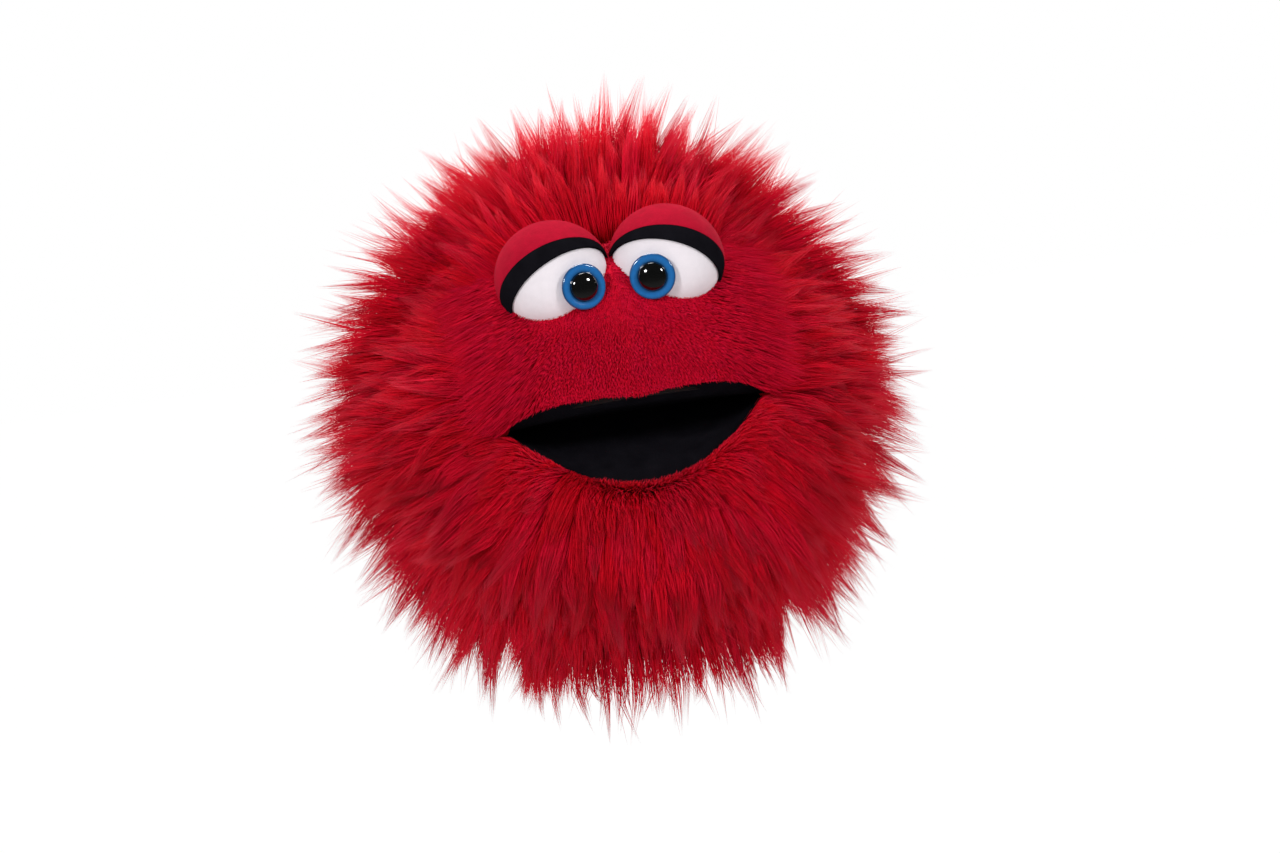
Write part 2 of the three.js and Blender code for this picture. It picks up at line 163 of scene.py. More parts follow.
def finish_with(piece, **modifiers):
    """Adds modifiers by type, with their settings, and applies them."""
    for kind, values in modifiers.items():
        modifier = piece.modifiers.new(kind, kind)
        for key, value in values.items():
            setattr(modifier, key, value)
    return applied(piece)


class Wires:
    """Adds nodes to a tree and joins their sockets, so that a formula reads in a line or two."""

    def __init__(self, tree):
        self.tree = tree

    def add(self, kind, **settings):
        node = self.tree.nodes.new(kind)
        for key, value in settings.items():
            setattr(node, key, value)
        return node

    @staticmethod
    def socket(sockets, name):
        return next(s for s in sockets if s.name == name and s.enabled)

    def feed(self, socket, value):
        if isinstance(value, bpy.types.NodeSocket):
            self.tree.links.new(value, socket)
        elif value is not None:
            socket.default_value = value

    def give(self, node, **values):
        """Feeds a node's inputs by name, with _ for a space."""
        for key, value in values.items():
            self.feed(self.socket(node.inputs, key.replace("_", " ")), value)
        return node

    def out(self, node, name):
        return self.socket(node.outputs, name)

    def maths(self, operation, *values, clamp=False):
        node = self.add("ShaderNodeMath", operation=operation, use_clamp=clamp)
        for socket, value in zip(node.inputs, values):
            self.feed(socket, value)
        return node.outputs[0]

    def vector(self, operation, *values):
        node = self.add("ShaderNodeVectorMath", operation=operation)
        for socket, value in zip(node.inputs, values):
            self.feed(socket, value)
        return node.outputs["Value" if operation in ("DOT_PRODUCT", "LENGTH") else "Vector"]

    def scaled(self, vector, by):
        node = self.add("ShaderNodeVectorMath", operation="SCALE")
        self.feed(node.inputs["Vector"], vector)
        self.feed(node.inputs["Scale"], by)
        return node.outputs["Vector"]

    def between(self, a, b, share):
        return self.vector("ADD", a, self.scaled(self.vector("SUBTRACT", b, a), share))

    def range(self, value, low, high, to_low=0.0, to_high=1.0):
        node = self.add("ShaderNodeMapRange", interpolation_type="SMOOTHSTEP")
        for socket, number in zip(node.inputs, (value, low, high, to_low, to_high)):
            self.feed(socket, number)
        return node.outputs[0]

    def ramp(self, value, stops):
        """A colour ramp of (place, colour) stops."""
        node = self.add("ShaderNodeValToRGB")
        elements = node.color_ramp.elements
        while len(elements) < len(stops):
            elements.new(0.5)
        for element, (place, colour) in zip(elements, stops):
            element.position = place
            element.color = (*colour, 1)
        self.feed(node.inputs["Fac"], value)
        return node.outputs["Color"]

    def mix(self, kind, share, a, b):
        node = self.add("ShaderNodeMix", data_type="RGBA", blend_type=kind)
        self.feed(node.inputs[0], share)
        self.feed(node.inputs[6], a if isinstance(a, bpy.types.NodeSocket) else (*a, 1))
        self.feed(node.inputs[7], b if isinstance(b, bpy.types.NodeSocket) else (*b, 1))
        return node.outputs[2]


# Finishes ----------------------------------------------------------------------------------------


def new_material(name, roughness, **plain):
    """A Principled material with plain values on its own sockets."""
    material = bpy.data.materials.new(name)
    material.use_nodes = True
    shader = material.node_tree.nodes["Principled BSDF"]
    shader.inputs["Roughness"].default_value = roughness
    for key, value in plain.items():
        shader.inputs[key.replace("_", " ")].default_value = value
    return material, shader, Wires(material.node_tree)


def add_bump(wires, shader, height, strength, distance):
    bump = wires.give(wires.add("ShaderNodeBump"), Height=height, Strength=strength, Distance=distance)
    wires.feed(shader.inputs["Normal"], bump.outputs["Normal"])


def nap_group():
    """A shader group for cloth with a nap: mottled shade, fine fibre grain and a height for bump."""
    found = bpy.data.node_groups.get("cloth_nap")
    if found:
        return found
    group = bpy.data.node_groups.new("cloth_nap", "ShaderNodeTree")
    for name, kind, default in (
        ("Vector", "NodeSocketVector", None),
        ("Fibre Scale", "NodeSocketFloat", 900.0),
        ("Mottle Scale", "NodeSocketFloat", 60.0),
        ("Mottle", "NodeSocketFloat", 0.25),
    ):
        socket = group.interface.new_socket(name, in_out="INPUT", socket_type=kind)
        if default is not None:
            socket.default_value = default
    for name in ("Shade", "Height"):
        group.interface.new_socket(name, in_out="OUTPUT", socket_type="NodeSocketFloat")
    wires = Wires(group)
    given = wires.add("NodeGroupInput")
    result = wires.add("NodeGroupOutput")
    place = given.outputs["Vector"]
    fine = wires.give(
        wires.add("ShaderNodeTexNoise"),
        Vector=place, Scale=given.outputs["Fibre Scale"], Detail=4.0, Roughness=0.7, Distortion=0.6,
    )
    broad = wires.give(
        wires.add("ShaderNodeTexNoise"), Vector=place, Scale=given.outputs["Mottle Scale"], Detail=3.0
    )
    swing = wires.maths("MULTIPLY", given.outputs["Mottle"], 2.0)
    patches = wires.maths("MULTIPLY", wires.maths("SUBTRACT", broad.outputs[0], 0.5), swing)
    grain = wires.maths("MULTIPLY", wires.maths("SUBTRACT", fine.outputs[0], 0.5), given.outputs["Mottle"])
    shade = wires.maths("ADD", wires.maths("ADD", patches, grain), 1.0)
    height = wires.maths("ADD", fine.outputs[0], wires.maths("MULTIPLY", broad.outputs[0], 0.8))
    wires.feed(result.inputs["Shade"], shade)
    wires.feed(result.inputs["Height"], height)
    return group


def napped(name, colour, roughness=0.95, fibre=900.0, mottle_scale=60.0, mottle=0.3, depth=0.4, **plain):
    """Felt, fleece or plush backing: one colour with mottled shade and a fibrous bump."""
    material, shader, wires = new_material(name, roughness, **plain)
    place = wires.add("ShaderNodeTexCoord").outputs["Object"]
    nap = wires.add("ShaderNodeGroup", node_tree=nap_group())
    wires.give(nap, Vector=place, Fibre_Scale=fibre, Mottle_Scale=mottle_scale, Mottle=mottle)
    wires.feed(shader.inputs["Base Color"], wires.scaled(colour, nap.outputs["Shade"]))
    add_bump(wires, shader, nap.outputs["Height"], depth, 0.6 * MM)
    return material


def hair_material(name, stops, warm, spread=0.06, roughness=0.65):
    """Long or short hair: shaded from root to tip, with locks that differ a little in tone and hue."""
    material, shader, wires = new_material(name, roughness, Specular_IOR_Level=0.06)
    place = wires.add("ShaderNodeUVMap", uv_map=FUR_MAP).outputs[0]
    split = wires.give(wires.add("ShaderNodeSeparateXYZ"), Vector=place)
    lock, along = split.outputs[0], split.outputs[1]

    def chance(steps):
        noise = wires.add("ShaderNodeTexWhiteNoise", noise_dimensions="1D")
        wires.feed(noise.inputs["W"], wires.maths("FLOOR", wires.maths("MULTIPLY", lock, steps)))
        return noise.outputs["Value"]

    own = wires.maths("ADD", chance(LOCK_TONES), chance(HAIR_TONES))
    shade = wires.maths("MULTIPLY_ADD", own, spread, 1.0 - spread)
    hue = wires.maths("FRACT", wires.maths("MULTIPLY", chance(LOCK_TONES), 7.0))
    tone = wires.mix("MULTIPLY", wires.maths("MULTIPLY", hue, 0.8), wires.ramp(along, stops), warm)
    wires.feed(shader.inputs["Base Color"], wires.scaled(tone, shade))
    return material


def knit_material(name, colour):
    """Ribbed knit cloth for the sleeve, lining and pockets."""
    material, shader, wires = new_material(name, 0.92, Sheen_Weight=0.2)
    place = wires.add("ShaderNodeTexCoord").outputs["Object"]
    ribs = wires.add("ShaderNodeTexWave", wave_type="BANDS", bands_direction="X")
    wires.give(ribs, Vector=place, Scale=180.0, Distortion=1.5, Detail=2.0, Detail_Scale=6.0)
    rows = wires.add("ShaderNodeTexWave", wave_type="BANDS", bands_direction="Z")
    wires.give(rows, Vector=place, Scale=260.0, Distortion=2.0, Detail=1.0)
    height = wires.maths("MULTIPLY", ribs.outputs[1], rows.outputs[1])
    # The colour is darker where the ribs and rows are low: painted shade in the knit's grooves.
    shade = wires.maths("MULTIPLY_ADD", height, 0.5, 0.7)
    wires.feed(shader.inputs["Base Color"], wires.scaled(colour, shade))
    add_bump(wires, shader, height, 0.6, 0.8 * MM)
    return material


def sleeve_knit():
    return bpy.data.materials.get("sleeve_knit") or knit_material("sleeve_knit", (0.22, 0.004, 0.014))


def foam_material():
    """Open-cell foam."""
    material, shader, wires = new_material("open_cell_foam", 0.95)
    place = wires.add("ShaderNodeTexCoord").outputs["Object"]
    cells = wires.give(wires.add("ShaderNodeTexVoronoi"), Vector=place, Scale=900.0)
    # Darker towards each cell's middle, where the bump is lowest: painted shade in the foam's pits.
    tone = wires.ramp(cells.outputs["Distance"], ((0.0, (0.45, 0.38, 0.24)), (0.7, (0.72, 0.64, 0.44))))
    wires.feed(shader.inputs["Base Color"], tone)
    add_bump(wires, shader, cells.outputs["Distance"], 0.7, 0.8 * MM)
    return material


def board_material():
    """Stiff dark fibre board for the mouth plates."""
    dark = (0.012, 0.011, 0.011)
    return napped("fibre_board", dark, 0.8, fibre=1500, mottle_scale=200, mottle=0.5, depth=0.2)


def plastic_material(name, colour, roughness, coat=1.0, flaw=0.03):
    """Moulded glossy plastic with faint handling marks."""
    material, shader, wires = new_material(name, roughness, Coat_Weight=coat, Coat_Roughness=0.03)
    place = wires.add("ShaderNodeTexCoord").outputs["Object"]
    marks = wires.give(wires.add("ShaderNodeTexNoise"), Vector=place, Scale=220.0, Detail=5.0)
    wires.feed(shader.inputs["Roughness"], wires.maths("MULTIPLY_ADD", marks.outputs[0], flaw, roughness))
    tone = wires.mix("MIX", wires.range(marks.outputs[0], 0.3, 0.7), colour, tuple(0.8 * c for c in colour))
    wires.feed(shader.inputs["Base Color"], tone)
    return material


def iris_material(settings, centre, axis, radius):
    """Blue moulded plastic that darkens to its rim and round the pupil, with fine radial streaks."""
    material, shader, wires = new_material("iris_blue", 0.2, Coat_Weight=1.0, Coat_Roughness=0.04)
    place = wires.add("ShaderNodeTexCoord").outputs["Object"]
    offset = wires.vector("SUBTRACT", place, tuple(centre))
    depth = wires.vector("DOT_PRODUCT", offset, tuple(axis))
    flat = wires.vector("SUBTRACT", offset, wires.scaled(tuple(axis), depth))
    out = wires.maths("DIVIDE", wires.vector("LENGTH", flat), radius)
    streaks = wires.give(
        wires.add("ShaderNodeTexNoise"), Vector=wires.vector("NORMALIZE", flat), Scale=9.0, Detail=3.0
    )
    blue = tuple(settings.iris_colour)
    dark = tuple(0.35 * c for c in blue)
    light = tuple(1.12 * c for c in blue)
    rings = wires.ramp(out, ((0.6, dark), (0.73, blue), (0.83, light), (0.9, blue), (1.0, dark)))
    tone = wires.scaled(rings, wires.maths("MULTIPLY_ADD", streaks.outputs[0], 0.3, 0.85))
    wires.feed(shader.inputs["Base Color"], tone)
    return material


# Settings ----------------------------------------------------------------------------------------


def colour_setting(name, default, description):
    return FloatVectorProperty(
        name=name, subtype="COLOR", size=3, min=0, max=1, default=default, description=description
    )


def length_setting(name, default, description):
    return FloatProperty(name=name, unit="LENGTH", default=default, description=description)


def share_setting(name, default, description):
    return FloatProperty(
        name=name, subtype="FACTOR", min=0, max=1, default=default, description=description
    )


def angle_setting(name, degrees, description):
    return FloatProperty(name=name, unit="ROTATION", default=math.radians(degrees), description=description)


class PuppetFur(bpy.types.PropertyGroup):
    length: length_setting("Length", 0.0635, "Length of the long fur")
    width: length_setting("Hair width", 0.00044, "Width of a hair at its root")
    locks: FloatProperty(name="Locks", default=44000.0, description="Locks for each square metre of cloth")
    clump: share_setting("Clump", 0.92, "How far a lock's hairs meet at its tip")
    wild: share_setting("Wildness", 0.26, "How far locks stray from the comb")
    wave: share_setting("Wave", 0.16, "How wavy the locks are")
    droop: share_setting("Droop", 0.22, "How far the tips sink under their weight")
    seed: IntProperty(name="Seed", default=7, description="Seed for the fur's random numbers")
    # Root and tip colours paint light: the darker root is painted shade deep in the fur, and the lighter,
    # pinker tip is painted backlight shining through the thin hair ends.
    root: colour_setting("Root", (0.46, 0.0005, 0.010), "Colour at the roots")
    middle: colour_setting("Middle", (0.68, 0.0012, 0.026), "Colour along the hair")
    tip: colour_setting("Tip", (0.82, 0.06, 0.095), "Colour of the worn tips")


class PuppetFace(bpy.types.PropertyGroup):
    plush: length_setting("Plush pile", 0.0048, "Length of the muzzle's pile")
    plush_colour: colour_setting("Plush", (0.65, 0.003, 0.034), "Colour of the short plush")
    lid_colour: colour_setting("Eyelids", (0.38, 0.0013, 0.019), "Colour of the felt eyelids")
    eye_colour: colour_setting("Eyes", (0.80, 0.74, 0.78), "Colour of the stuffed eyes")
    iris_colour: colour_setting("Iris", (0.010, 0.125, 0.37), "Colour of the plastic irises")
    black: colour_setting("Black felt", (0.006, 0.0055, 0.0075), "Colour of the mouth and the lash bands")
    bulge: length_setting("Eye bulge", 0.021, "Half the depth of a stuffed eye")
    fill: share_setting("Eye filling", 0.9, "How tightly the eyes are stuffed")


class PuppetStage(bpy.types.PropertyGroup):
    distance: length_setting("Camera distance", 2.2, "Camera to the head")
    view_width: length_setting("View width", 0.608, "Width seen at the head")
    azimuth: angle_setting("Azimuth", -8, "Camera's turn")
    elevation: angle_setting("Elevation", 2, "Camera's rise")
    roll: angle_setting("Roll", 8.6, "The head's lean")
    floor: length_setting("Floor", -0.4, "Height of the floor")


# The head's shape and how its fur is combed ------------------------------------------------------


def upper_lip(x):
    """Height of the upper lip's edge: nearly level, with a dip in the middle and round corners."""
    dip = UPPER_DIP * np.exp(-((x / 10) ** 2))
    return HINGE_Z + UPPER_RISE * np.maximum(0, 1 - (x / LIP_HALF) ** 6) - dip


def lower_lip(x):
    """Height of the lower lip's edge."""
    return HINGE_Z - LOWER_DROP * np.maximum(0, 1 - (x / LIP_HALF) ** 2)


def brow(x):
    """Height at which long fur starts over the eyes."""
    return BROW_Z + BROW_RISE * np.sqrt(np.maximum(0, 1 - (x / FACE_HALF) ** 2))


def skin_front(x, z, by=0.0):
    """Shows a button for each step of the build, and the puppet's settings"""
    radii = SKIN + by
    inside = 1 - (x / radii[0]) ** 2 - ((z - HEAD_Z) / radii[2]) ** 2
    return -radii[1] * np.sqrt(np.maximum(inside, 0))


def jaw_angle(p):
    """Degrees above the level of the hinge, seen from the side."""
    return np.degrees(np.arctan2(p[:, 2] - HINGE_Z, HINGE_Y - p[:, 1]))


def head_skin(subdivisions):
    """The whole ball as (points, normals, triangles), in millimetres, with edges along the lower lip."""
    work = bmesh.new()
    bmesh.ops.create_icosphere(work, subdivisions=subdivisions, radius=1)
    points = np.array([v.co for v in work.verts])
    faces = np.array([[v.index for v in f.verts] for f in work.faces])
    work.free()
    normals = unit(points / SKIN)
    points = points * SKIN + (0, 0, HEAD_Z)
    x, y, z = points.T
    near = (np.abs(z - lower_lip(x)) < LIP_SNAP) & (y < FACE_BACK) & (np.abs(x) < LIP_HALF)
    z[near] = lower_lip(x[near])
    y[near] = skin_front(x[near], z[near])
    points = np.stack((x, y, z), axis=1)
    return points, normals, faces[on_ball(points[faces].mean(1))]


def laid(way, normals):
    """The part of a direction that lies in the cloth."""
    return way - (way * normals).sum(1, keepdims=True) * normals


def combed(points, normals, settings):
    """The direction each hair leaves the cloth in, and the direction of its tip.

    The shares run from 0 to 1: back and front of the head, low towards the neck, beside the face, and lip
    for the short fringe that stands up along the lower lip.
    """
    x, y, z = points[:, 0:1], points[:, 1:2], points[:, 2:3]
    away = unit(points * (1, 0, 1) - (0, 0, RADIAL_Z))
    outward = unit(points * (1, 1, 0) + 1e-6)
    back = smoothstep(0.2, 1.0, normals[:, 1:2])
    front = smoothstep(0.0, 0.95, -normals[:, 1:2])
    low = smoothstep(HEAD_Z - 8, HEAD_Z - 62, z)
    lie = unit(laid(away, normals) * (1 - back) + laid(DOWN, normals) * back + 1e-6)
    beside = smoothstep(48, 0, np.abs(np.abs(x) - FACE_HALF)) * (z < BROW_Z + BROW_RISE)
    flat = np.maximum(front, 0.8 * beside * smoothstep(10, -25, y))
    grow = unit(normals * (1.0 - 0.62 * flat - 0.35 * back) + lie * (0.25 + 0.9 * flat + 0.6 * back))
    hanging = unit(outward * 0.62 + DOWN + 0.15 * normals)
    grow = unit(grow * (1 - low) + hanging * low)
    under = lower_lip(x) - z
    inside = smoothstep(LIP_HALF + 2, LIP_HALF - 6, np.abs(x))
    lip = smoothstep(8, 0, under) * smoothstep(-5, 0, under) * inside * (y < FACE_BACK)
    grow = unit(grow * (1 - 0.85 * lip) + 0.85 * lip * (normals - DOWN))
    fall = settings.droop * (1 + 1.2 * back + 1.3 * low)
    tip = unit(grow + (1 - lip) * (0.7 * front * (1 - low) * away + fall * DOWN))
    return grow, tip


def pile_length(points, settings):
    """Hair length in millimetres: full on the ball, shorter where the fur meets the face."""
    x, y, z = points.T
    full = settings.length / MM
    above = z - brow(x)
    beside = np.abs(x) - FACE_HALF
    edge = np.where(np.abs(x) < FACE_HALF, np.maximum(above, lower_lip(x) - z), beside)
    at_face = (y < FACE_BACK + 10) & (z > lower_lip(x) - 20)
    lip = smoothstep(-1, 16, lower_lip(x) - z)
    shorter = np.where(at_face, 0.66 + 0.34 * smoothstep(0, 30, edge), 1.0)
    below = (z < HINGE_Z) & (np.abs(x) < LIP_HALF) & (y < FACE_BACK)
    return full * np.where(below, 0.09 + 0.85 * lip, shorter)


def skin_patch(keep, settings, skin):
    """The part of the ball whose triangles keep accepts, with the comb stored on its points."""
    points, normals, faces = skin
    chosen = faces[keep(points[faces].mean(1))]
    used, index = np.unique(chosen, return_inverse=True)
    mesh = mesh_from(points[used], index.reshape(-1, 3))
    grow, tip = combed(points[used], normals[used], settings)
    store_comb(mesh, grow, tip, pile_length(points[used], settings))
    return mesh


def store_comb(mesh, grow, tip, length):
    """Hair directions and lengths, in millimetres, as attributes that the fur tree reads."""
    for name, values in (("grow", grow), ("tip", tip)):
        attribute = mesh.attributes.new(name, "FLOAT_VECTOR", "POINT")
        attribute.data.foreach_set("vector", np.asarray(values, np.float32).ravel())
    attribute = mesh.attributes.new("pile", "FLOAT", "POINT")
    attribute.data.foreach_set("value", np.asarray(length * MM, np.float32))


# Hair by geometry nodes --------------------------------------------------------------------------

HAIR_INPUTS = (
    ("Hairs", "NodeSocketFloat", 1e6),
    ("Locks", "NodeSocketFloat", 4e4),
    ("Width", "NodeSocketFloat", 0.0006),
    ("Clump", "NodeSocketFloat", 0.85),
    ("Wildness", "NodeSocketFloat", 0.2),
    ("Wave", "NodeSocketFloat", 0.15),
    ("Segments", "NodeSocketInt", 4),
    ("Backing", "NodeSocketFloat", 0.0015),
    ("Seed", "NodeSocketInt", 1),
    ("Material", "NodeSocketMaterial", None),
)

HAIR_NOTES = ("grow", "tip", "pile", "root", "chance", "turn", "place")  # values only the tree needs


def random_value(wires, low, high, seed, kind="FLOAT"):
    node = wires.add("FunctionNodeRandomValue", data_type=kind)
    wires.give(node, Min=low, Max=high, Seed=seed)
    return wires.out(node, "Value")


def named(wires, name, kind="FLOAT_VECTOR"):
    node = wires.add("GeometryNodeInputNamedAttribute", data_type=kind)
    node.inputs["Name"].default_value = name
    return wires.out(node, "Attribute")


def store(wires, geometry, name, value, kind="FLOAT_VECTOR", domain="POINT"):
    node = wires.add("GeometryNodeStoreNamedAttribute", data_type=kind, domain=domain)
    return wires.out(wires.give(node, Geometry=geometry, Name=name, Value=value), "Geometry")


def scattered(wires, surface, density, seed, stray, vary):
    """Points on the cloth, each with its own slightly strayed comb and length."""
    scatter = wires.add("GeometryNodeDistributePointsOnFaces", distribute_method="RANDOM")
    wires.give(scatter, Mesh=surface, Density=density, Seed=seed)
    points = scatter.outputs["Points"]
    for step, name in enumerate(("grow", "tip")):
        draw = wires.maths("ADD", seed, 11.0 + step)
        jitter = random_value(wires, (-1, -1, -1), (1, 1, 1), draw, "FLOAT_VECTOR")
        strayed = wires.vector("ADD", named(wires, name), wires.scaled(jitter, stray))
        points = store(wires, points, name, wires.vector("NORMALIZE", strayed))
    factor = random_value(wires, 1.0 - vary, 1.0 + 0.6 * vary, wires.maths("ADD", seed, 17.0))
    length = wires.maths("MULTIPLY", named(wires, "pile", "FLOAT"), factor)
    return store(wires, points, "pile", length, "FLOAT")


def rooted_hairs(wires, cloth, given):
    """Hair roots on the cloth, each with its own comb and that of the lock nearest to it."""
    seed = given["Seed"]
    half_wild = wires.maths("MULTIPLY", given["Wildness"], 0.4)
    locks = scattered(wires, cloth, given["Locks"], wires.maths("ADD", seed, 100.0), given["Wildness"], 0.3)
    hairs = scattered(wires, cloth, given["Hairs"], seed, half_wild, 0.12)
    nearest = wires.give(wires.add("GeometryNodeSampleNearest", domain="POINT"), Geometry=locks)
    lock_values = (
        ("lock_root", wires.add("GeometryNodeInputPosition").outputs[0], "FLOAT_VECTOR"),
        ("lock_grow", named(wires, "grow"), "FLOAT_VECTOR"),
        ("lock_tip", named(wires, "tip"), "FLOAT_VECTOR"),
        ("lock_pile", named(wires, "pile", "FLOAT"), "FLOAT"),
        ("lock_chance", random_value(wires, 0.0, 1.0, 5), "FLOAT"),
    )
    for name, value, kind in lock_values:
        sample = wires.add("GeometryNodeSampleIndex", data_type=kind, domain="POINT")
        wires.give(sample, Geometry=locks, Value=value, Index=nearest.outputs["Index"])
        hairs = store(wires, hairs, name, wires.out(sample, "Value"), kind)
    hairs = store(wires, hairs, "root", wires.add("GeometryNodeInputPosition").outputs[0])
    hairs = store(wires, hairs, "chance", random_value(wires, 0.0, 1.0, 23), "FLOAT")
    return store(wires, hairs, "turn", random_value(wires, (-1, -1, -1), (1, 1, 1), 31, "FLOAT_VECTOR"))


def spikes_on(wires, hairs, segments):
    """A thin cone on every root, as real mesh whose points remember their place on the cone."""
    spike = wires.add("GeometryNodeMeshCone", fill_type="NGON")
    wires.give(spike, Vertices=3, Side_Segments=segments, Radius_Top=0.0, Radius_Bottom=1.0, Depth=1.0)
    here = wires.add("GeometryNodeInputPosition").outputs[0]
    shaped = store(wires, spike.outputs["Mesh"], "place", here)
    planted = wires.give(wires.add("GeometryNodeInstanceOnPoints"), Points=hairs, Instance=shaped)
    real = wires.give(wires.add("GeometryNodeRealizeInstances"), Geometry=planted.outputs["Instances"])
    return real.outputs["Geometry"]


def hair_lines(wires, given, along):
    """The middle line of each hair: bent to its comb, and gathered to its lock's line towards the tip."""
    end = wires.maths("MULTIPLY_ADD", named(wires, "chance", "FLOAT"), 0.42, 0.58)
    reach = wires.maths("MULTIPLY", along, end)  # a hair may stop short of its lock's tip
    bent = wires.maths("MULTIPLY", reach, reach)
    early = wires.maths("MULTIPLY_ADD", bent, -0.5, reach)
    late = wires.maths("MULTIPLY", bent, 0.5)

    def curve(root, grow, tip, pile):
        grown = wires.scaled(named(wires, grow), early)
        bend = wires.vector("ADD", grown, wires.scaled(named(wires, tip), late))
        return wires.vector("ADD", named(wires, root), wires.scaled(bend, named(wires, pile, "FLOAT")))

    own = curve("root", "grow", "tip", "pile")
    lock = curve("lock_root", "lock_grow", "lock_tip", "lock_pile")
    long_enough = wires.range(named(wires, "pile", "FLOAT"), 0.008, 0.045, 0.1, 1.0)
    gather = wires.maths("MULTIPLY", given["Clump"], long_enough)
    centre = wires.between(own, lock, wires.maths("MULTIPLY", gather, wires.maths("POWER", reach, 2.0)))

    sway = wires.give(
        wires.add("ShaderNodeTexNoise", noise_dimensions="4D"),
        Vector=named(wires, "lock_root"), Scale=45.0, Detail=1.0, W=wires.maths("MULTIPLY", along, 1.6),
    )
    waved = wires.maths("MULTIPLY", given["Wave"], wires.maths("MULTIPLY", along, along))
    swing = wires.maths("MULTIPLY", waved, named(wires, "lock_pile", "FLOAT"))
    aside = wires.vector("SUBTRACT", sway.outputs["Color"], (0.5, 0.5, 0.5))
    return wires.vector("ADD", centre, wires.scaled(aside, wires.maths("MULTIPLY", swing, 2.0)))


def bent_spikes(wires, spikes, given):
    """Moves each cone's points onto its hair's line, and places them on the fur's map."""
    place = wires.give(wires.add("ShaderNodeSeparateXYZ"), Vector=named(wires, "place")).outputs
    along = place[2]
    centre = hair_lines(wires, given, along)
    heading = wires.between(named(wires, "lock_grow"), named(wires, "lock_tip"), along)
    heading = wires.vector("NORMALIZE", heading)
    across = wires.vector("NORMALIZE", wires.vector("CROSS_PRODUCT", heading, named(wires, "turn")))
    other = wires.vector("CROSS_PRODUCT", heading, across)
    thinning = wires.maths("ADD", wires.maths("ADD", along, wires.maths("MULTIPLY", along, along)), 1.0)
    half = wires.maths("MULTIPLY", wires.maths("MULTIPLY", given["Width"], thinning), 0.5)
    ring = wires.vector("ADD", wires.scaled(across, place[0]), wires.scaled(other, place[1]))
    moved = wires.give(
        wires.add("GeometryNodeSetPosition"),
        Geometry=spikes, Position=wires.vector("ADD", centre, wires.scaled(ring, half)),
    ).outputs["Geometry"]
    lock_cell = wires.maths("MULTIPLY", named(wires, "lock_chance", "FLOAT"), LOCK_TONES)
    own_share = wires.maths("MULTIPLY_ADD", named(wires, "chance", "FLOAT"), 0.9, 0.05)
    cell = wires.maths("ADD", wires.maths("FLOOR", lock_cell), own_share)
    across_map = wires.maths("DIVIDE", cell, LOCK_TONES)
    map_place = wires.give(
        wires.add("ShaderNodeCombineXYZ"),
        X=wires.maths("MULTIPLY_ADD", place[0], 0.001, across_map),
        Y=wires.maths("MULTIPLY_ADD", along, 0.95, 0.03),
    )
    return store(wires, moved, FUR_MAP, map_place.outputs[0], "FLOAT2", "CORNER")


def backed(wires, cloth, thickness):
    """The cloth with a real thickness, closed, and at the root's end of the fur's map."""
    inner = wires.give(
        wires.add("GeometryNodeExtrudeMesh", mode="FACES"),
        Mesh=cloth, Offset_Scale=wires.maths("MULTIPLY", thickness, -1.0), Individual=False,
    )
    turned = wires.give(wires.add("GeometryNodeFlipFaces"), Mesh=inner.outputs["Mesh"])
    both = joined(wires, cloth, turned.outputs["Mesh"])
    sealed = wires.give(wires.add("GeometryNodeMergeByDistance"), Geometry=both, Distance=0.01 * MM)
    here = wires.add("GeometryNodeInputPosition").outputs[0]
    spot = wires.give(wires.add("ShaderNodeSeparateXYZ"), Vector=here).outputs
    # Near the root's end of the map the backing takes the darkest colour of the ramp: painted shade under the
    # pile.
    map_place = wires.give(
        wires.add("ShaderNodeCombineXYZ"),
        X=wires.maths("MULTIPLY_ADD", spot[0], 2.5, 0.5),
        Y=wires.maths("MULTIPLY_ADD", spot[2], 0.05, 0.005),
    )
    return store(wires, sealed.outputs["Geometry"], FUR_MAP, map_place.outputs[0], "FLOAT2", "CORNER")


def joined(wires, *parts):
    node = wires.add("GeometryNodeJoinGeometry")
    for part in parts:
        wires.tree.links.new(part, node.inputs[0])
    return node.outputs[0]


def hair_tree():
    """Cloth in, furred cloth out: hairs gathered into pointed locks, on a backing with a real thickness."""
    tree = bpy.data.node_groups.new("hair", "GeometryNodeTree")
    tree.interface.new_socket("Geometry", in_out="INPUT", socket_type="NodeSocketGeometry")
    for name, kind, default in HAIR_INPUTS:
        socket = tree.interface.new_socket(name, in_out="INPUT", socket_type=kind)
        if default is not None:
            socket.default_value = default
    tree.interface.new_socket("Geometry", in_out="OUTPUT", socket_type="NodeSocketGeometry")
    wires = Wires(tree)
    given = wires.add("NodeGroupInput").outputs
    cloth = given["Geometry"]
    spikes = spikes_on(wires, rooted_hairs(wires, cloth, given), given["Segments"])
    whole = joined(wires, backed(wires, cloth, given["Backing"]), bent_spikes(wires, spikes, given))
    coloured = wires.give(wires.add("GeometryNodeSetMaterial"), Geometry=whole, Material=given["Material"])
    result = wires.add("NodeGroupOutput")
    tree.links.new(coloured.outputs["Geometry"], result.inputs[0])
    return tree


def furred(name, cloth, material, **values):
    """Runs the hair tree on a cloth mesh and returns the finished plain piece."""
    tree = bpy.data.node_groups.get("hair") or hair_tree()
    piece = add_object(name, cloth)
    modifier = piece.modifiers.new("hair", "NODES")
    modifier.node_group = tree
    wanted = {key.replace("_", " "): value for key, value in values.items()} | {"Material": material}
    for item in tree.interface.items_tree:
        if item.in_out == "INPUT" and item.name in wanted:
            modifier[item.identifier] = wanted[item.name]
    applied(piece)
    piece.data.shade_smooth()
    for attribute in list(piece.data.attributes):
        if attribute.name in HAIR_NOTES or attribute.name.startswith("lock_"):
            piece.data.attributes.remove(attribute)
    return piece


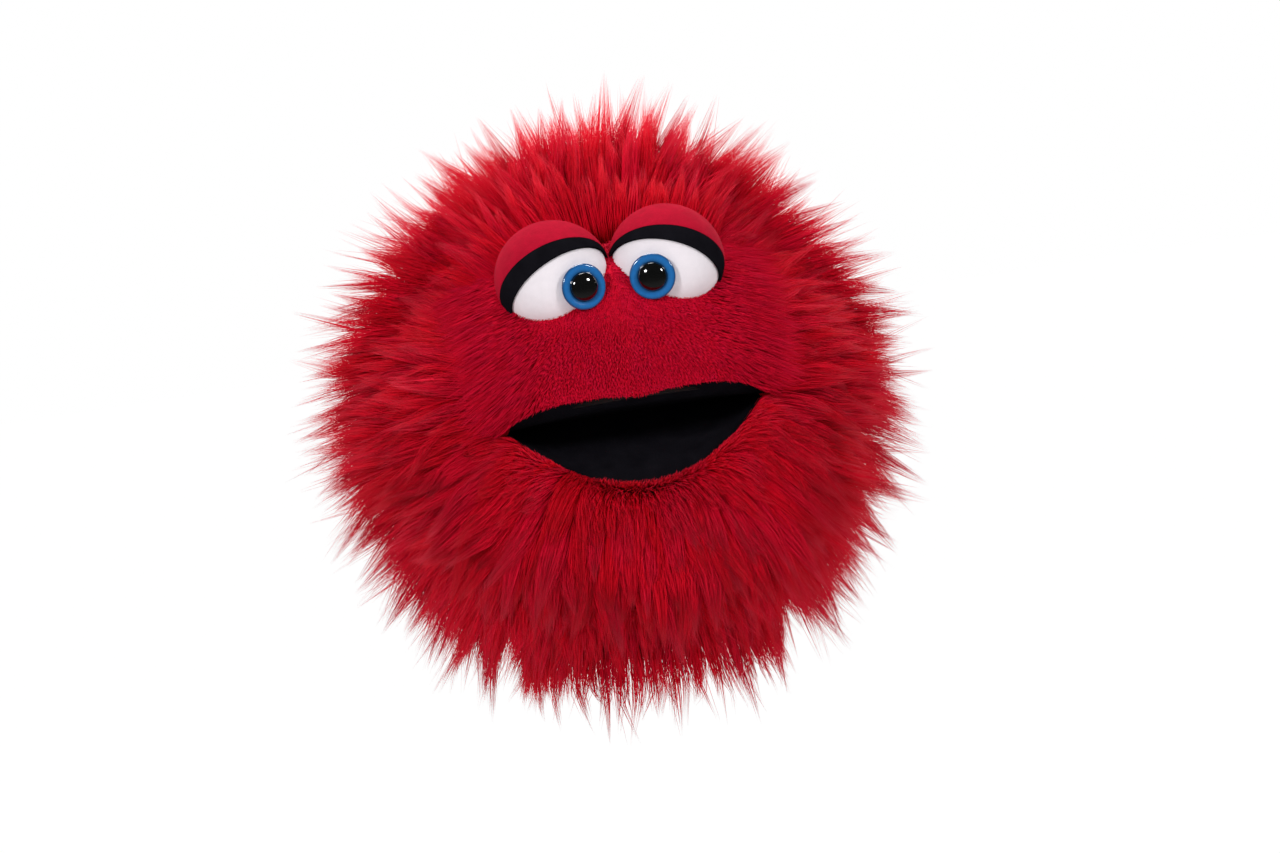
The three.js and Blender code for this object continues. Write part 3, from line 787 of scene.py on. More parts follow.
def hair_density(mesh, hairs):
    """Hairs for each square metre that give the piece this many."""
    return hairs / sum(p.area for p in mesh.polygons)


# Long fur ----------------------------------------------------------------------------------------


def in_face(p):
    """True inside the part of the face that has no long fur."""
    x, y, z = p.T
    return (y < FACE_BACK) & (np.abs(x) < FACE_HALF) & (z > lower_lip(x)) & (z < brow(x))


def on_ball(p):
    """True where the ball has long fur: not in the face, and not where it opens round the neck."""
    return ~in_face(p) & ~((np.hypot(p[:, 0], p[:, 1]) < NECK_RADIUS) & (p[:, 2] < NECK_HOLE_Z))


# Where the panels meet: the chin's half width, the sides' back edge, the crown's lower edge, how far back the
# jaw's fur goes, and the jaw's lower end in degrees round the hinge
CHEEK_IN, PANEL_BACK, CROWN_Z, FRONT_Y, JAW_END = 25.0, 10.0, 172.0, -6.0, -60.0


def fur_panels():
    """Each panel's name, the test for its cloth, how many hairs it has, and the CAD node it stands for."""

    def lower_front(p):
        return (p[:, 2] < HINGE_Z) & (p[:, 1] < FRONT_Y)

    def throat(p):
        return lower_front(p) & (jaw_angle(p) < JAW_END)

    def chin(p):
        return lower_front(p) & ~throat(p) & (np.abs(p[:, 0]) < CHEEK_IN)

    panels = [("chin_pile", chin, 7600, "chin_fur"), ("throat_pile", throat, 4000, "throat_fur")]
    for side, sign in SIDES:

        def own(p, sign=sign):
            return p[:, 0] * sign > 0

        def cheek(p, own=own):
            return own(p) & lower_front(p) & ~throat(p) & ~chin(p)

        def crown(p, own=own):
            return own(p) & (p[:, 1] < PANEL_BACK) & (p[:, 2] > CROWN_Z)

        def flank(p, own=own):
            return own(p) & (p[:, 1] < PANEL_BACK) & (p[:, 2] <= CROWN_Z) & ~lower_front(p)

        def back_high(p, own=own):
            return own(p) & (p[:, 1] >= PANEL_BACK) & (p[:, 2] >= HEAD_Z)

        def back_low(p, own=own):
            return own(p) & (p[:, 1] >= PANEL_BACK) & (p[:, 2] < HEAD_Z)

        panels += [
            (f"{side}_cheek_pile", cheek, 10400, f"{side}_side_fur"),
            (f"{side}_crown_pile", crown, 9100, "crown_fur"),
            (f"{side}_side_pile", flank, 10700, f"{side}_side_fur"),
            (f"{side}_back_upper_pile", back_high, 6500, "back_fur"),
            (f"{side}_back_lower_pile", back_low, 5000, "back_fur"),
        ]
    return panels


def skirt_cloth(settings, front):
    """Half of the sleeve's cloth, which the fur skirt grows on. It flares towards the head."""
    around = np.linspace(0, np.pi, 49) + (np.pi if front else 0)
    heights = np.linspace(7, NECK_TOP, 9)
    flare = 1.2 + 9 * smoothstep(30, NECK_TOP, heights)
    points, normals = [], []
    for height, out in zip(heights, flare):
        for angle in around:
            way = np.array([math.cos(angle), math.sin(angle), 0])
            points.append(way * (NECK_RADIUS + out) + (0, 0, height))
            normals.append(way)
    points, normals = np.array(points), np.array(normals)
    mesh = mesh_from(points, grid_faces(len(heights), len(around)))
    up = smoothstep(10, NECK_TOP, points[:, 2:3])
    grow = unit(normals * (0.35 + 0.45 * up) + DOWN)
    tip = unit(normals * 0.15 + DOWN)
    at_sides, more_in_front = 0.54, 0.28  # shares of the long fur's length
    length = settings.length / MM * (at_sides + more_in_front * normals[:, 1] ** 2)
    store_comb(mesh, grow, tip, length)
    return mesh


class PUPPET_OT_long_fur(bpy.types.Operator):
    """Make the long fur of the head, jaw and sleeve"""

    bl_idname = "puppet.long_fur"
    bl_label = "Long fur"

    def execute(self, context):
        settings = context.scene.puppet_fur
        root, middle, tip = (tuple(c) for c in (settings.root, settings.middle, settings.tip))
        # The ramp paints light along each hair: its darkest stops at the root are painted shade deep in the
        # fur, and its lighter, pinker end is painted backlight through the thin tips.
        between = tuple(0.9 * a + 0.1 * b for a, b in zip(middle, tip))
        painted_root_shade = tuple(0.7 * c for c in root)
        stops = ((0.0, painted_root_shade), (0.14, root), (0.42, middle), (0.82, between), (1.0, tip))
        fur = hair_material("long_fur", stops, (1.0, 0.35, 0.35))
        shared = dict(
            Locks=settings.locks, Width=settings.width, Clump=settings.clump, Wildness=settings.wild,
            Wave=settings.wave, Segments=3, Backing=1.4 * MM,
        )
        fine, plain = head_skin(7), head_skin(6)
        for index, (name, keep, hairs, node) in enumerate(fur_panels()):
            at_lip = "chin" in name or "cheek" in name
            cloth = skin_patch(keep, settings, fine if at_lip else plain)
            seed = settings.seed + 10 * index
            piece = furred(name, cloth, fur, Hairs=hair_density(cloth, hairs), Seed=seed, **shared)
            self.hold(piece, name)
            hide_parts(node)
        for side, front, hairs in (("front", True, 5200), ("back", False, 3800)):
            name = f"{side}_skirt_pile"
            cloth = skirt_cloth(settings, front)
            seed = settings.seed + 300 + front
            piece = furred(name, cloth, fur, Hairs=hair_density(cloth, hairs), Seed=seed, **shared)
            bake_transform(piece, "head", "sleeve", start=(0, 0, NECK_TOP * MM), end=(0, 0, 16 * MM))
            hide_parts("skirt_fur")
        return {"FINISHED"}

    @staticmethod
    def hold(piece, name):
        """Puts a panel on the jaw or the head, or lets it stretch between them."""
        if name == "chin_pile":
            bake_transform(piece, "jaw", "head", start=(0, -72 * MM, 48 * MM), end=(0, -112 * MM, 8 * MM))
        elif name == "throat_pile":
            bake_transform(piece, "head", "jaw", start=(0, -50 * MM, 41 * MM), end=(0, -70 * MM, 56 * MM))
        elif name.endswith("cheek_pile"):
            sign = -1 if name.startswith("left") else 1
            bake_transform(piece, "head", "jaw", **cheek_blend(sign))
        else:
            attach(piece, "head")


def cheek_blend(sign):
    """Where the cheek's cloth leaves the head and where it joins the jaw."""
    return {
        "start": (sign * 66 * MM, -47 * MM, 80 * MM),
        "end": (sign * 34 * MM, -68 * MM, 80 * MM),
    }


# Muzzle ------------------------------------------------------------------------------------------

MUZZLE_BUMPS = (  # centre and radii of the muzzle and of the nose bridge under the plush
    ((0, -40, 127), (66, 46.5, 34)),
    ((0, -49, 160), (12.5, 15, 21)),
)
PLUSH_TOP = 191.0
PLUSH_COMB_Z = 184.0  # the height between the eyes that the plush is combed away from
LIP_ROLL = ((0.2, 16), (0.0, 11), (-0.2, 6), (0.2, 2.2))  # above the lip's height, and behind its front


def muzzle_front(x, z):
    """How far forward the plush reaches at x, z: soft shapes melted into each other."""
    fronts = [skin_front(x, z, 4.0)]
    for centre, radii in MUZZLE_BUMPS:
        inside = 1 - ((x - centre[0]) / radii[0]) ** 2 - ((z - centre[2]) / radii[2]) ** 2
        fronts.append(np.where(inside > 0, centre[1] - radii[1] * np.sqrt(np.maximum(inside, 0)), 0.0))
    stack = np.array(fronts)
    softness = 4.0
    return -softness * np.log(np.exp(-stack / softness).sum(0))


def muzzle_cloth(settings):
    """The plush as a sheet from the lip to behind the eyes, rolled under at the lip."""
    columns = np.linspace(-FACE_HALF - 3, FACE_HALF + 3, 64)
    rises = np.linspace(0, 1, 40)
    points = []
    for rise, behind in LIP_ROLL:
        for x in columns:
            edge = float(upper_lip(x)) + 3.0
            points.append((x, muzzle_front(np.array(x), np.array(edge)) + behind, edge - 2.0 + rise))
    for rise in rises:
        for x in columns:
            edge = float(upper_lip(x)) + 1.6
            z = edge + rise * (PLUSH_TOP - edge)
            points.append((x, float(muzzle_front(np.array(x), np.array(z))), z))
    mesh = mesh_from(points, grid_faces(len(LIP_ROLL) + len(rises), len(columns)))
    normals = np.array([v.normal for v in mesh.vertices])
    if normals[:, 1].mean() > 0:
        mesh.flip_normals()
        normals = np.array([v.normal for v in mesh.vertices])
    points = np.array(points)
    along = laid(unit(points * (1, 0, 1) - (0, 0, PLUSH_COMB_Z)), normals)
    outer = smoothstep(36, FACE_HALF, np.abs(points[:, :1])) * np.sign(points[:, :1]) * (1, 0, 0)
    grow = unit(normals + 0.6 * along + 0.3 * DOWN + 0.8 * outer)
    tip = unit(normals * 0.3 + 0.8 * along + 0.5 * DOWN + 0.9 * outer)
    side = smoothstep(36, FACE_HALF, np.abs(points[:, 0]))
    bridge = smoothstep(150, 160, points[:, 2]) * (1 - side)
    lip = smoothstep(14, 0, points[:, 2] - upper_lip(points[:, 0]))
    length = settings.plush / MM * (1 + 4.6 * side * (1 - 0.8 * lip) - 0.45 * bridge - 0.4 * lip)
    length[: len(LIP_ROLL) * len(columns)] *= 0.25
    store_comb(mesh, grow, tip, length)
    return mesh


class PUPPET_OT_muzzle(bpy.types.Operator):
    """Make the short plush muzzle and nose bridge"""

    bl_idname = "puppet.muzzle"
    bl_label = "Muzzle"

    def execute(self, context):
        settings = context.scene.puppet_face
        colour = tuple(settings.plush_colour)
        # Darker at the root and a little lighter at the tip: painted shade deep in the pile and painted light
        # on the tips.
        root, tip = tuple(0.85 * c for c in colour), tuple(1.06 * c + 0.003 for c in colour)
        stops = ((0.0, root), (0.5, colour), (1.0, tip))
        plush = hair_material("short_plush", stops, (1.0, 0.6, 0.6), spread=0.04, roughness=0.8)
        cloth = muzzle_cloth(settings)
        piece = furred(
            "short_pile_muzzle", cloth, plush, Hairs=hair_density(cloth, 18500), Locks=60000.0,
            Width=0.5 * MM, Clump=0.15, Wildness=0.08, Wave=0.0, Segments=2, Backing=1.5 * MM, Seed=400,
        )
        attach(piece, "head")
        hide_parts("muzzle_plush")
        return {"FINISHED"}


# Eyes --------------------------------------------------------------------------------------------

EYE_LEAN, EYE_SPLAY = 25.0, 6.0
LID_EDGE = (-0.9, 17.0, 46.0)  # drop below the eye's middle, outward fall and forward rise in degrees
LASH_EDGE = (-8.0, 25.0, 38.0)
EYE_TUCK, EYE_DROP = 0.5, 2.0  # how much smaller and lower the fleece ball is than the space kept for it
DENT, DENT_RADIUS, DENT_FADE = 0.9, 9.5, 4.0  # the fleece pressed in round the plastic eye
IRIS_TOE, IRIS_DIP, IRIS_RADIUS, IRIS_RIM = 12.0, 3.0, 10.7, 1.1
PUPIL_RADIUS, PUPIL_SEAT, PUPIL_DOME = 6.75, 1.7, 3.3


def facing(axis, position):
    """A frame whose z looks along axis, with y as upright as it can be, at a place in millimetres."""
    axis = Vector(axis).normalized()
    across = Vector((0, 0, 1)).cross(axis).normalized()
    up = axis.cross(across)
    turn = Matrix((across, up, axis)).transposed().to_4x4()
    return Matrix.Translation(Vector(position) * MM) @ turn


class Eye:
    """One stuffed eye's place and shape, worked out from its frame node."""

    def __init__(self, side, sign, settings):
        low, high = (np.array(c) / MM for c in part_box(f"{side}_eye_pad"))
        self.sign = sign
        self.round = 0.5 * (high[0] - low[0]) - EYE_TUCK
        self.bulge = settings.bulge / MM
        self.centre = 0.5 * (low + high) - (0, 0, EYE_DROP)
        lean, splay = math.radians(EYE_LEAN), math.radians(EYE_SPLAY)
        self.axis = Vector((
            sign * math.sin(splay) * math.cos(lean), -math.cos(splay) * math.cos(lean), math.sin(lean)
        ))
        self.frame = facing(self.axis, self.centre)

    def ball(self, by):
        """The stuffed eye's surface as a bmesh, grown by a thickness in millimetres."""
        work = bmesh.new()
        bmesh.ops.create_uvsphere(work, u_segments=64, v_segments=48, radius=1)
        grown = Matrix.Diagonal(((self.round + by) * MM, (self.round + by) * MM, (self.bulge + by) * MM, 1))
        bmesh.ops.transform(work, matrix=self.frame @ grown, verts=work.verts)
        return work

    def edge_plane(self, drop, fall, slope):
        """A point on the plane that trims a lid or lash band, and the plane's upward normal."""
        fall, slope = math.radians(fall), math.radians(slope)
        along = Vector((math.cos(fall), 0, -self.sign * math.sin(fall)))
        across = Vector((self.sign * math.sin(fall), 0, math.cos(fall)))
        rise = across * math.sin(slope) + Vector((0, -1, 0)) * math.cos(slope)
        normal = along.cross(rise).normalized()
        if normal.z < 0:
            normal.negate()
        return (Vector(self.centre) + Vector((0, 0, drop))) * MM, normal

    def iris_frame(self, side):
        """The plastic eye's frame: its z looks out, and its origin is on the stuffed eye's surface."""
        low, high = (Vector(c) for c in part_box(f"{side}_iris"))
        toe, dip = math.radians(IRIS_TOE), math.radians(IRIS_DIP)
        inward, ahead = math.sin(toe) * math.cos(dip), math.cos(toe) * math.cos(dip)
        out = Vector((-self.sign * inward, -ahead, -math.sin(dip)))
        return facing(out, (low + high) / 2 / MM), out


def cut(work, point, normal, keep_above):
    """Keeps one side of a plane."""
    everything = work.verts[:] + work.edges[:] + work.faces[:]
    bmesh.ops.bisect_plane(
        work, geom=everything, plane_co=point, plane_no=normal,
        clear_inner=keep_above, clear_outer=not keep_above,
    )


def to_piece(name, work, material):
    mesh = bpy.data.meshes.new(name)
    work.to_mesh(mesh)
    work.free()
    mesh.shade_smooth()
    return add_object(name, mesh, material)


def turned_piece(name, profile, frame_matrix, material, around=64):
    """A lathe-turned piece from (radius, height) points in millimetres, first and last on the axis."""
    points = []
    for radius, height in profile:
        for step in range(around):
            angle = 2 * math.pi * step / around
            points.append((radius * math.cos(angle), radius * math.sin(angle), height))
    rings = range(len(profile) - 1)
    mesh = mesh_from(points, [(a, b, b + around, a + around) for a, b in ring_steps(rings, around)])
    recalculate(mesh, 1e-6)
    mesh.transform(frame_matrix)
    mesh.shade_smooth()
    return add_object(name, mesh, material)


def stuffed(piece, rounds=14, limit=0.9):
    """Swells a closed cloth form a little with a short pressure simulation, never further than limit."""
    rest = np.array([v.co for v in piece.data.vertices])
    cloth = piece.modifiers.new("stuffing", "CLOTH")
    cloth.settings.use_pressure = True
    cloth.settings.uniform_pressure_force = 3.0
    cloth.settings.effector_weights.gravity = 0.0
    cloth.settings.quality = 4
    for number in range(1, rounds + 1):
        bpy.context.scene.frame_set(number)
    applied(piece)
    now = np.array([v.co for v in piece.data.vertices])
    move = now - rest
    far = np.linalg.norm(move, axis=1, keepdims=True)
    now = rest + move * np.minimum(1, limit * MM / np.maximum(far, 1e-9))
    piece.data.vertices.foreach_set("co", now.astype(np.float32).ravel())
    bpy.context.scene.frame_set(1)
    piece.data.update()
    piece.data.shade_smooth()
    return piece


class PUPPET_OT_eyes(bpy.types.Operator):
    """Make the stuffed eyes, felt eyelids, lash bands and plastic irises"""

    bl_idname = "puppet.eyes"
    bl_label = "Eyes"

    def execute(self, context):
        settings = context.scene.puppet_face
        fleece = napped(
            "eye_fleece", tuple(settings.eye_colour), 0.95, fibre=1400, mottle_scale=300, mottle=0.05,
            depth=0.35, Sheen_Weight=0.3,
        )
        lid_felt = napped(
            "lid_felt", tuple(settings.lid_colour), 0.95, fibre=1300, mottle_scale=240, mottle=0.22,
            depth=0.5, Specular_IOR_Level=0.1,
        )
        black = black_felt(settings)
        shiny = plastic_material("pupil_black", (0.002, 0.002, 0.002), 0.06)
        for side, sign in SIDES:
            eye = Eye(side, sign, settings)
            self.pad(side, eye, fleece, settings)
            self.lid(side, eye, lid_felt)
            self.lash(side, eye, black)
            self.plastic(side, eye, shiny, settings)
        return {"FINISHED"}

    @staticmethod
    def pad(side, eye, fleece, settings):
        """The white stuffed ball, pressed in a little round the iris."""
        name = f"{side}_stuffed_eye"
        work = eye.ball(-0.35)
        frame_matrix, out = eye.iris_frame(side)
        centre = frame_matrix.translation
        for vertex in work.verts:
            offset = vertex.co - centre
            flat = (offset - out * offset.dot(out)).length / MM
            if offset.dot(eye.axis) > -8 * MM:
                dent = DENT * math.exp(-((max(0, flat - DENT_RADIUS) / DENT_FADE) ** 2))
                vertex.co -= out * dent * MM
        piece = stuffed(to_piece(name, work, fleece))
        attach(piece, "head")
        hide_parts(f"{side}_eye_pad")

    @staticmethod
    def felt_piece(name, work, felt, thickness, rounding, segments):
        """Gives a cut shell the felt's thickness and soft edges."""
        piece = to_piece(name, work, felt)
        finish_with(
            piece,
            SOLIDIFY=dict(thickness=thickness * MM, offset=1.0, use_rim=True),
            BEVEL=dict(
                width=rounding * MM, segments=segments, limit_method="ANGLE", angle_limit=math.radians(50)
            ),
        )
        piece.data.shade_smooth()
        return piece

    @staticmethod
    def lid(side, eye, felt):
        """The felt eyelid, which covers the top of the ball."""
        work = eye.ball(0.2)
        cut(work, *eye.edge_plane(*LID_EDGE), keep_above=True)
        piece = PUPPET_OT_eyes.felt_piece(f"{side}_felt_lid", work, felt, 1.1, 0.5, 3)
        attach(piece, "head")
        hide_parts(f"{side}_eyelid")

    @staticmethod
    def lash(side, eye, black):
        """The black felt band below the lid, its upper edge tucked under the lid's."""
        work = eye.ball(0.1)
        cut(work, *eye.edge_plane(*LASH_EDGE), keep_above=True)
        drop, fall, slope = LID_EDGE
        tuck = 1.5
        cut(work, *eye.edge_plane(drop + tuck, fall, slope), keep_above=False)
        piece = PUPPET_OT_eyes.felt_piece(f"{side}_felt_lashes", work, black, 1.05, 0.4, 2)
        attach(piece, "head")
        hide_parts(f"{side}_lash_band")

    @staticmethod
    def plastic(side, eye, shiny, settings):
        """The blue disc with a soft rim, and the black dome on it."""
        frame_matrix, out = eye.iris_frame(side)
        radius, bend = IRIS_RADIUS, IRIS_RIM
        rim = [
            (radius - bend + bend * math.cos(a), 0.9 + bend * math.sin(a))
            for a in np.linspace(-1.2, 1.5, 9)
        ]
        dish = [(0, -1.6), (radius - 1.6, -1.6), *rim, (radius - 2.4, 1.75), (7.2, 1.5), (0, 1.5)]
        blue = iris_material(settings, frame_matrix.translation, out, radius * MM)
        blue.name = f"iris_blue_{side}"
        disc = turned_piece(f"{side}_iris_disc", dish, frame_matrix, blue)
        foot = [(0, 1.3), (6.9, 1.3), (6.9, 1.6)]
        dome = [
            (PUPIL_RADIUS * math.cos(a), PUPIL_SEAT + PUPIL_DOME * math.sin(a))
            for a in np.linspace(0, math.pi / 2, 14)[:-1]
        ]
        top = (0, PUPIL_SEAT + PUPIL_DOME)
        pupil = turned_piece(f"{side}_pupil_dome", [*foot, *dome, top], frame_matrix, shiny)
        for piece, node, slot in ((disc, "iris", "blue_plastic"), (pupil, "pupil", "black_plastic")):
            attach(piece, "head")
            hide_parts(f"{side}_{node}")


# Mouth -------------------------------------------------------------------------------------------


def black_felt(settings):
    found = bpy.data.materials.get("mouth_felt")
    return found or napped(
        "mouth_felt", tuple(settings.black), 0.98, fibre=1300, mottle_scale=120, mottle=0.5, depth=0.5,
        Specular_IOR_Level=0.0,
    )


def mouth_sheet(low_x, high_x, lip, rise, sink, inward):
    """Black cloth from the hinge line out to a lip, between two places across the mouth.

    The plate rises or falls towards the lip, the whole sheet sinks by a little, and its edge stays inward
    of the head's cloth.
    """
    columns = np.linspace(low_x, high_x, max(9, int((high_x - low_x) / 2.5)))
    runs = np.linspace(0, 1, 18)
    points = []
    for run in runs:
        for x in columns:
            edge_z = float(lip(np.array(x)))
            edge_y = float(skin_front(np.array(x), np.array(edge_z))) + inward
            y = HINGE_Y + run * (edge_y - HINGE_Y)
            plate_z = HINGE_Z + run * rise * max(0, 1 - (x / LIP_HALF) ** 2)
            z = plate_z + (edge_z - plate_z) * float(smoothstep(0.8, 1, run)) - sink
            points.append((x, y, z))
    return mesh_from(points, grid_faces(len(runs), len(columns)))


def lower_sheet(low_x, high_x):
    return mouth_sheet(low_x, high_x, lower_lip, -LOWER_DROP, -0.6, 0.4)


def felt_sheet(name, mesh, material, away):
    """Gives a sheet its thickness on the side away from the mouth: 1 is above it and -1 below."""
    recalculate(mesh)
    up = sum(p.normal.z * p.area for p in mesh.polygons)
    if up * away < 0:
        mesh.flip_normals()
    piece = add_object(name, mesh, material)
    finish_with(piece, SOLIDIFY=dict(thickness=1.2 * MM, offset=1.0, use_rim=True))
    piece.data.shade_smooth()
    piece.data.set_sharp_from_angle(angle=math.radians(50))
    return piece


class PUPPET_OT_mouth(bpy.types.Operator):
    """Make the black mouth lining, which folds at the hinge"""

    bl_idname = "puppet.mouth"
    bl_label = "Mouth"

    def execute(self, context):
        black = black_felt(context.scene.puppet_face)
        roof_sheet = mouth_sheet(-LIP_HALF, LIP_HALF, upper_lip, PLATE_RISE, 0.3, 0.2)
        roof = felt_sheet("upper_mouth_lining", roof_sheet, black, away=1)
        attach(roof, "head")
        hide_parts("upper_mouth_felt", "left_cheek_gusset", "right_cheek_gusset")
        floor_half = CHEEK_IN + 0.5  # laps a little over the corner pieces
        floor = felt_sheet("lower_mouth_lining", lower_sheet(-floor_half, floor_half), black, away=-1)
        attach(floor, "jaw")
        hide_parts("lower_mouth_felt")
        for side, sign in SIDES:
            span = sorted((sign * CHEEK_IN, sign * (LIP_HALF + 0.8)))
            cheek = felt_sheet(f"{side}_mouth_corner", lower_sheet(*span), black, away=-1)
            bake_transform(cheek, "head", "jaw", **cheek_blend(sign))
            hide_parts(f"{side}_cheek_gusset")
        return {"FINISHED"}


# Sleeve and inside -------------------------------------------------------------------------------


def sleeve_tube(bottom, top, radius, rings, wall=2.0, ripple=0.5, around=96):
    """A knit tube with soft upright folds, closed as a wall."""
    heights = np.linspace(bottom, top, rings)
    outer, inner = [], []
    for height in heights:
        for step in range(around):
            angle = 2 * math.pi * step / around
            fold = ripple * math.sin(9 * angle + 0.08 * height) + 0.4 * ripple * math.sin(23 * angle)
            for shell, base in ((outer, radius + 0.1), (inner, radius - wall)):
                out = base + fold
                shell.append((out * math.cos(angle), out * math.sin(angle), height))
    count = len(outer)
    faces = []
    for a, b in ring_steps(range(rings - 1), around):
        faces.append((a, b, b + around, a + around))
        faces.append((count + a, count + a + around, count + b + around, count + b))
    faces += [(a, b, count + b, count + a) for a, b in ring_steps([0], around)]
    faces += [(count + a, count + b, b, a) for a, b in ring_steps([rings - 1], around)]
    mesh = mesh_from(outer + inner, faces)
    recalculate(mesh)
    return mesh


class PUPPET_OT_sleeve(bpy.types.Operator):
    """Make the knit sleeve with its bound hem"""

    bl_idname = "puppet.sleeve"
    bl_label = "Sleeve"

    def execute(self, context):
        knit = sleeve_knit()
        low, high = (np.array(c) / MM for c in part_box("sleeve_cloth"))
        seam = high[2] + 0.4
        sleeve = add_object("sleeve_cloth_soft", sleeve_tube(low[2], seam, high[0], rings=6), knit)
        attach(sleeve, "sleeve")
        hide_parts("sleeve_cloth")
        neck_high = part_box("neck_cloth")[1][2] / MM
        tucked = 6  # how far the neck reaches up into the head
        neck_tube = sleeve_tube(seam, neck_high + tucked, high[0], rings=14)
        neck = add_object("neck_cloth_soft", neck_tube, knit)
        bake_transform(neck, "head", "sleeve", start=(0, 0, neck_high * MM), end=(0, 0, (high[2] + 1) * MM))
        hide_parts("neck_cloth")
        hem = self.binding(knit)
        return {"FINISHED"}

    @staticmethod
    def binding(knit):
        """The strip folded over the sleeve's edge."""
        outer, _, tall = np.array(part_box("hem_binding")[1]) / MM
        inner, cloth = 50.2, 1.4
        profile = [(outer - cloth, tall), (outer - 0.4, tall), (outer, tall - 0.5)]
        profile += [(outer + 0.1, tall * 0.5), (outer, 0.6), (outer - 0.5, 0)]
        profile += [(inner + 0.5, 0), (inner, 0.6), (inner, tall - 0.5)]
        profile += [(inner + 0.4, tall), (inner + cloth, tall), (inner + cloth, cloth + 0.3)]
        profile += [(outer - cloth, cloth + 0.3), (outer - cloth, tall)]
        hem = turned_piece("hem_binding_soft", profile, Matrix.Identity(4), knit, around=128)
        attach(hem, "sleeve")
        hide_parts("hem_binding")
        return hem


class PUPPET_OT_inside(bpy.types.Operator):
    """Finish the foam, lining, boards, pockets and eye fixings that the frame already has"""

    bl_idname = "puppet.inside"
    bl_label = "Inside"

    def execute(self, context):
        knit = sleeve_knit()
        foam, board = foam_material(), board_material()
        clear = plastic_material("fixing_plastic", (0.62, 0.62, 0.58), 0.4, coat=0.2)
        finishes = {"mouth_hinge_tape": black_felt(context.scene.puppet_face)}
        finishes |= {node: foam for node in ("head_foam", "jaw_foam")}
        finishes |= {node: board for node in ("upper_mouth_board", "lower_mouth_board")}
        finishes |= {
            node: knit for node in ("hand_lining", "finger_pocket", "thumb_pocket", "throat_gusset")
        }
        for side, _ in SIDES:
            finishes |= {f"{side}_eye_shank": clear, f"{side}_eye_washer": clear}
        for node, material in finishes.items():
            piece = frame["nodes"][node]
            piece.data.materials.clear()
            piece.data.materials.append(material)
        return {"FINISHED"}


# Stage -------------------------------------------------------------------------------------------


LIGHTS = (  # name, place and width in metres, and power in watts
    ("key", (-1.35, -1.5, 1.05), 0.4, 24),
    ("fill", (1.4, -1.4, 0.95), 0.4, 17),
    ("top", (0.1, 0.5, 1.7), 1.0, 26),
    ("rim_left", (-1.6, 1.4, 0.4), 0.8, 18),
    ("rim_right", (1.6, 1.4, 0.4), 0.8, 18),
)
FLOOR_RADIUS, FLOOR_FADE = 40.0, (0.3, 1.6)  # metres: the floor turns to plain white between the two
AIM_RIGHT, AIM_DOWN = 0.0109, 0.0055  # metres from the head's centre to the middle of the picture


def area_light(name, place, aim, size, power):
    data = bpy.data.lights.new(name, "AREA")
    data.shape, data.size, data.energy = "DISK", size, power
    lamp = bpy.data.objects.new(name, data)
    lamp.location = place
    lamp.rotation_euler = (Vector(aim) - Vector(place)).to_track_quat("-Z", "Y").to_euler()
    bpy.context.scene.collection.objects.link(lamp)


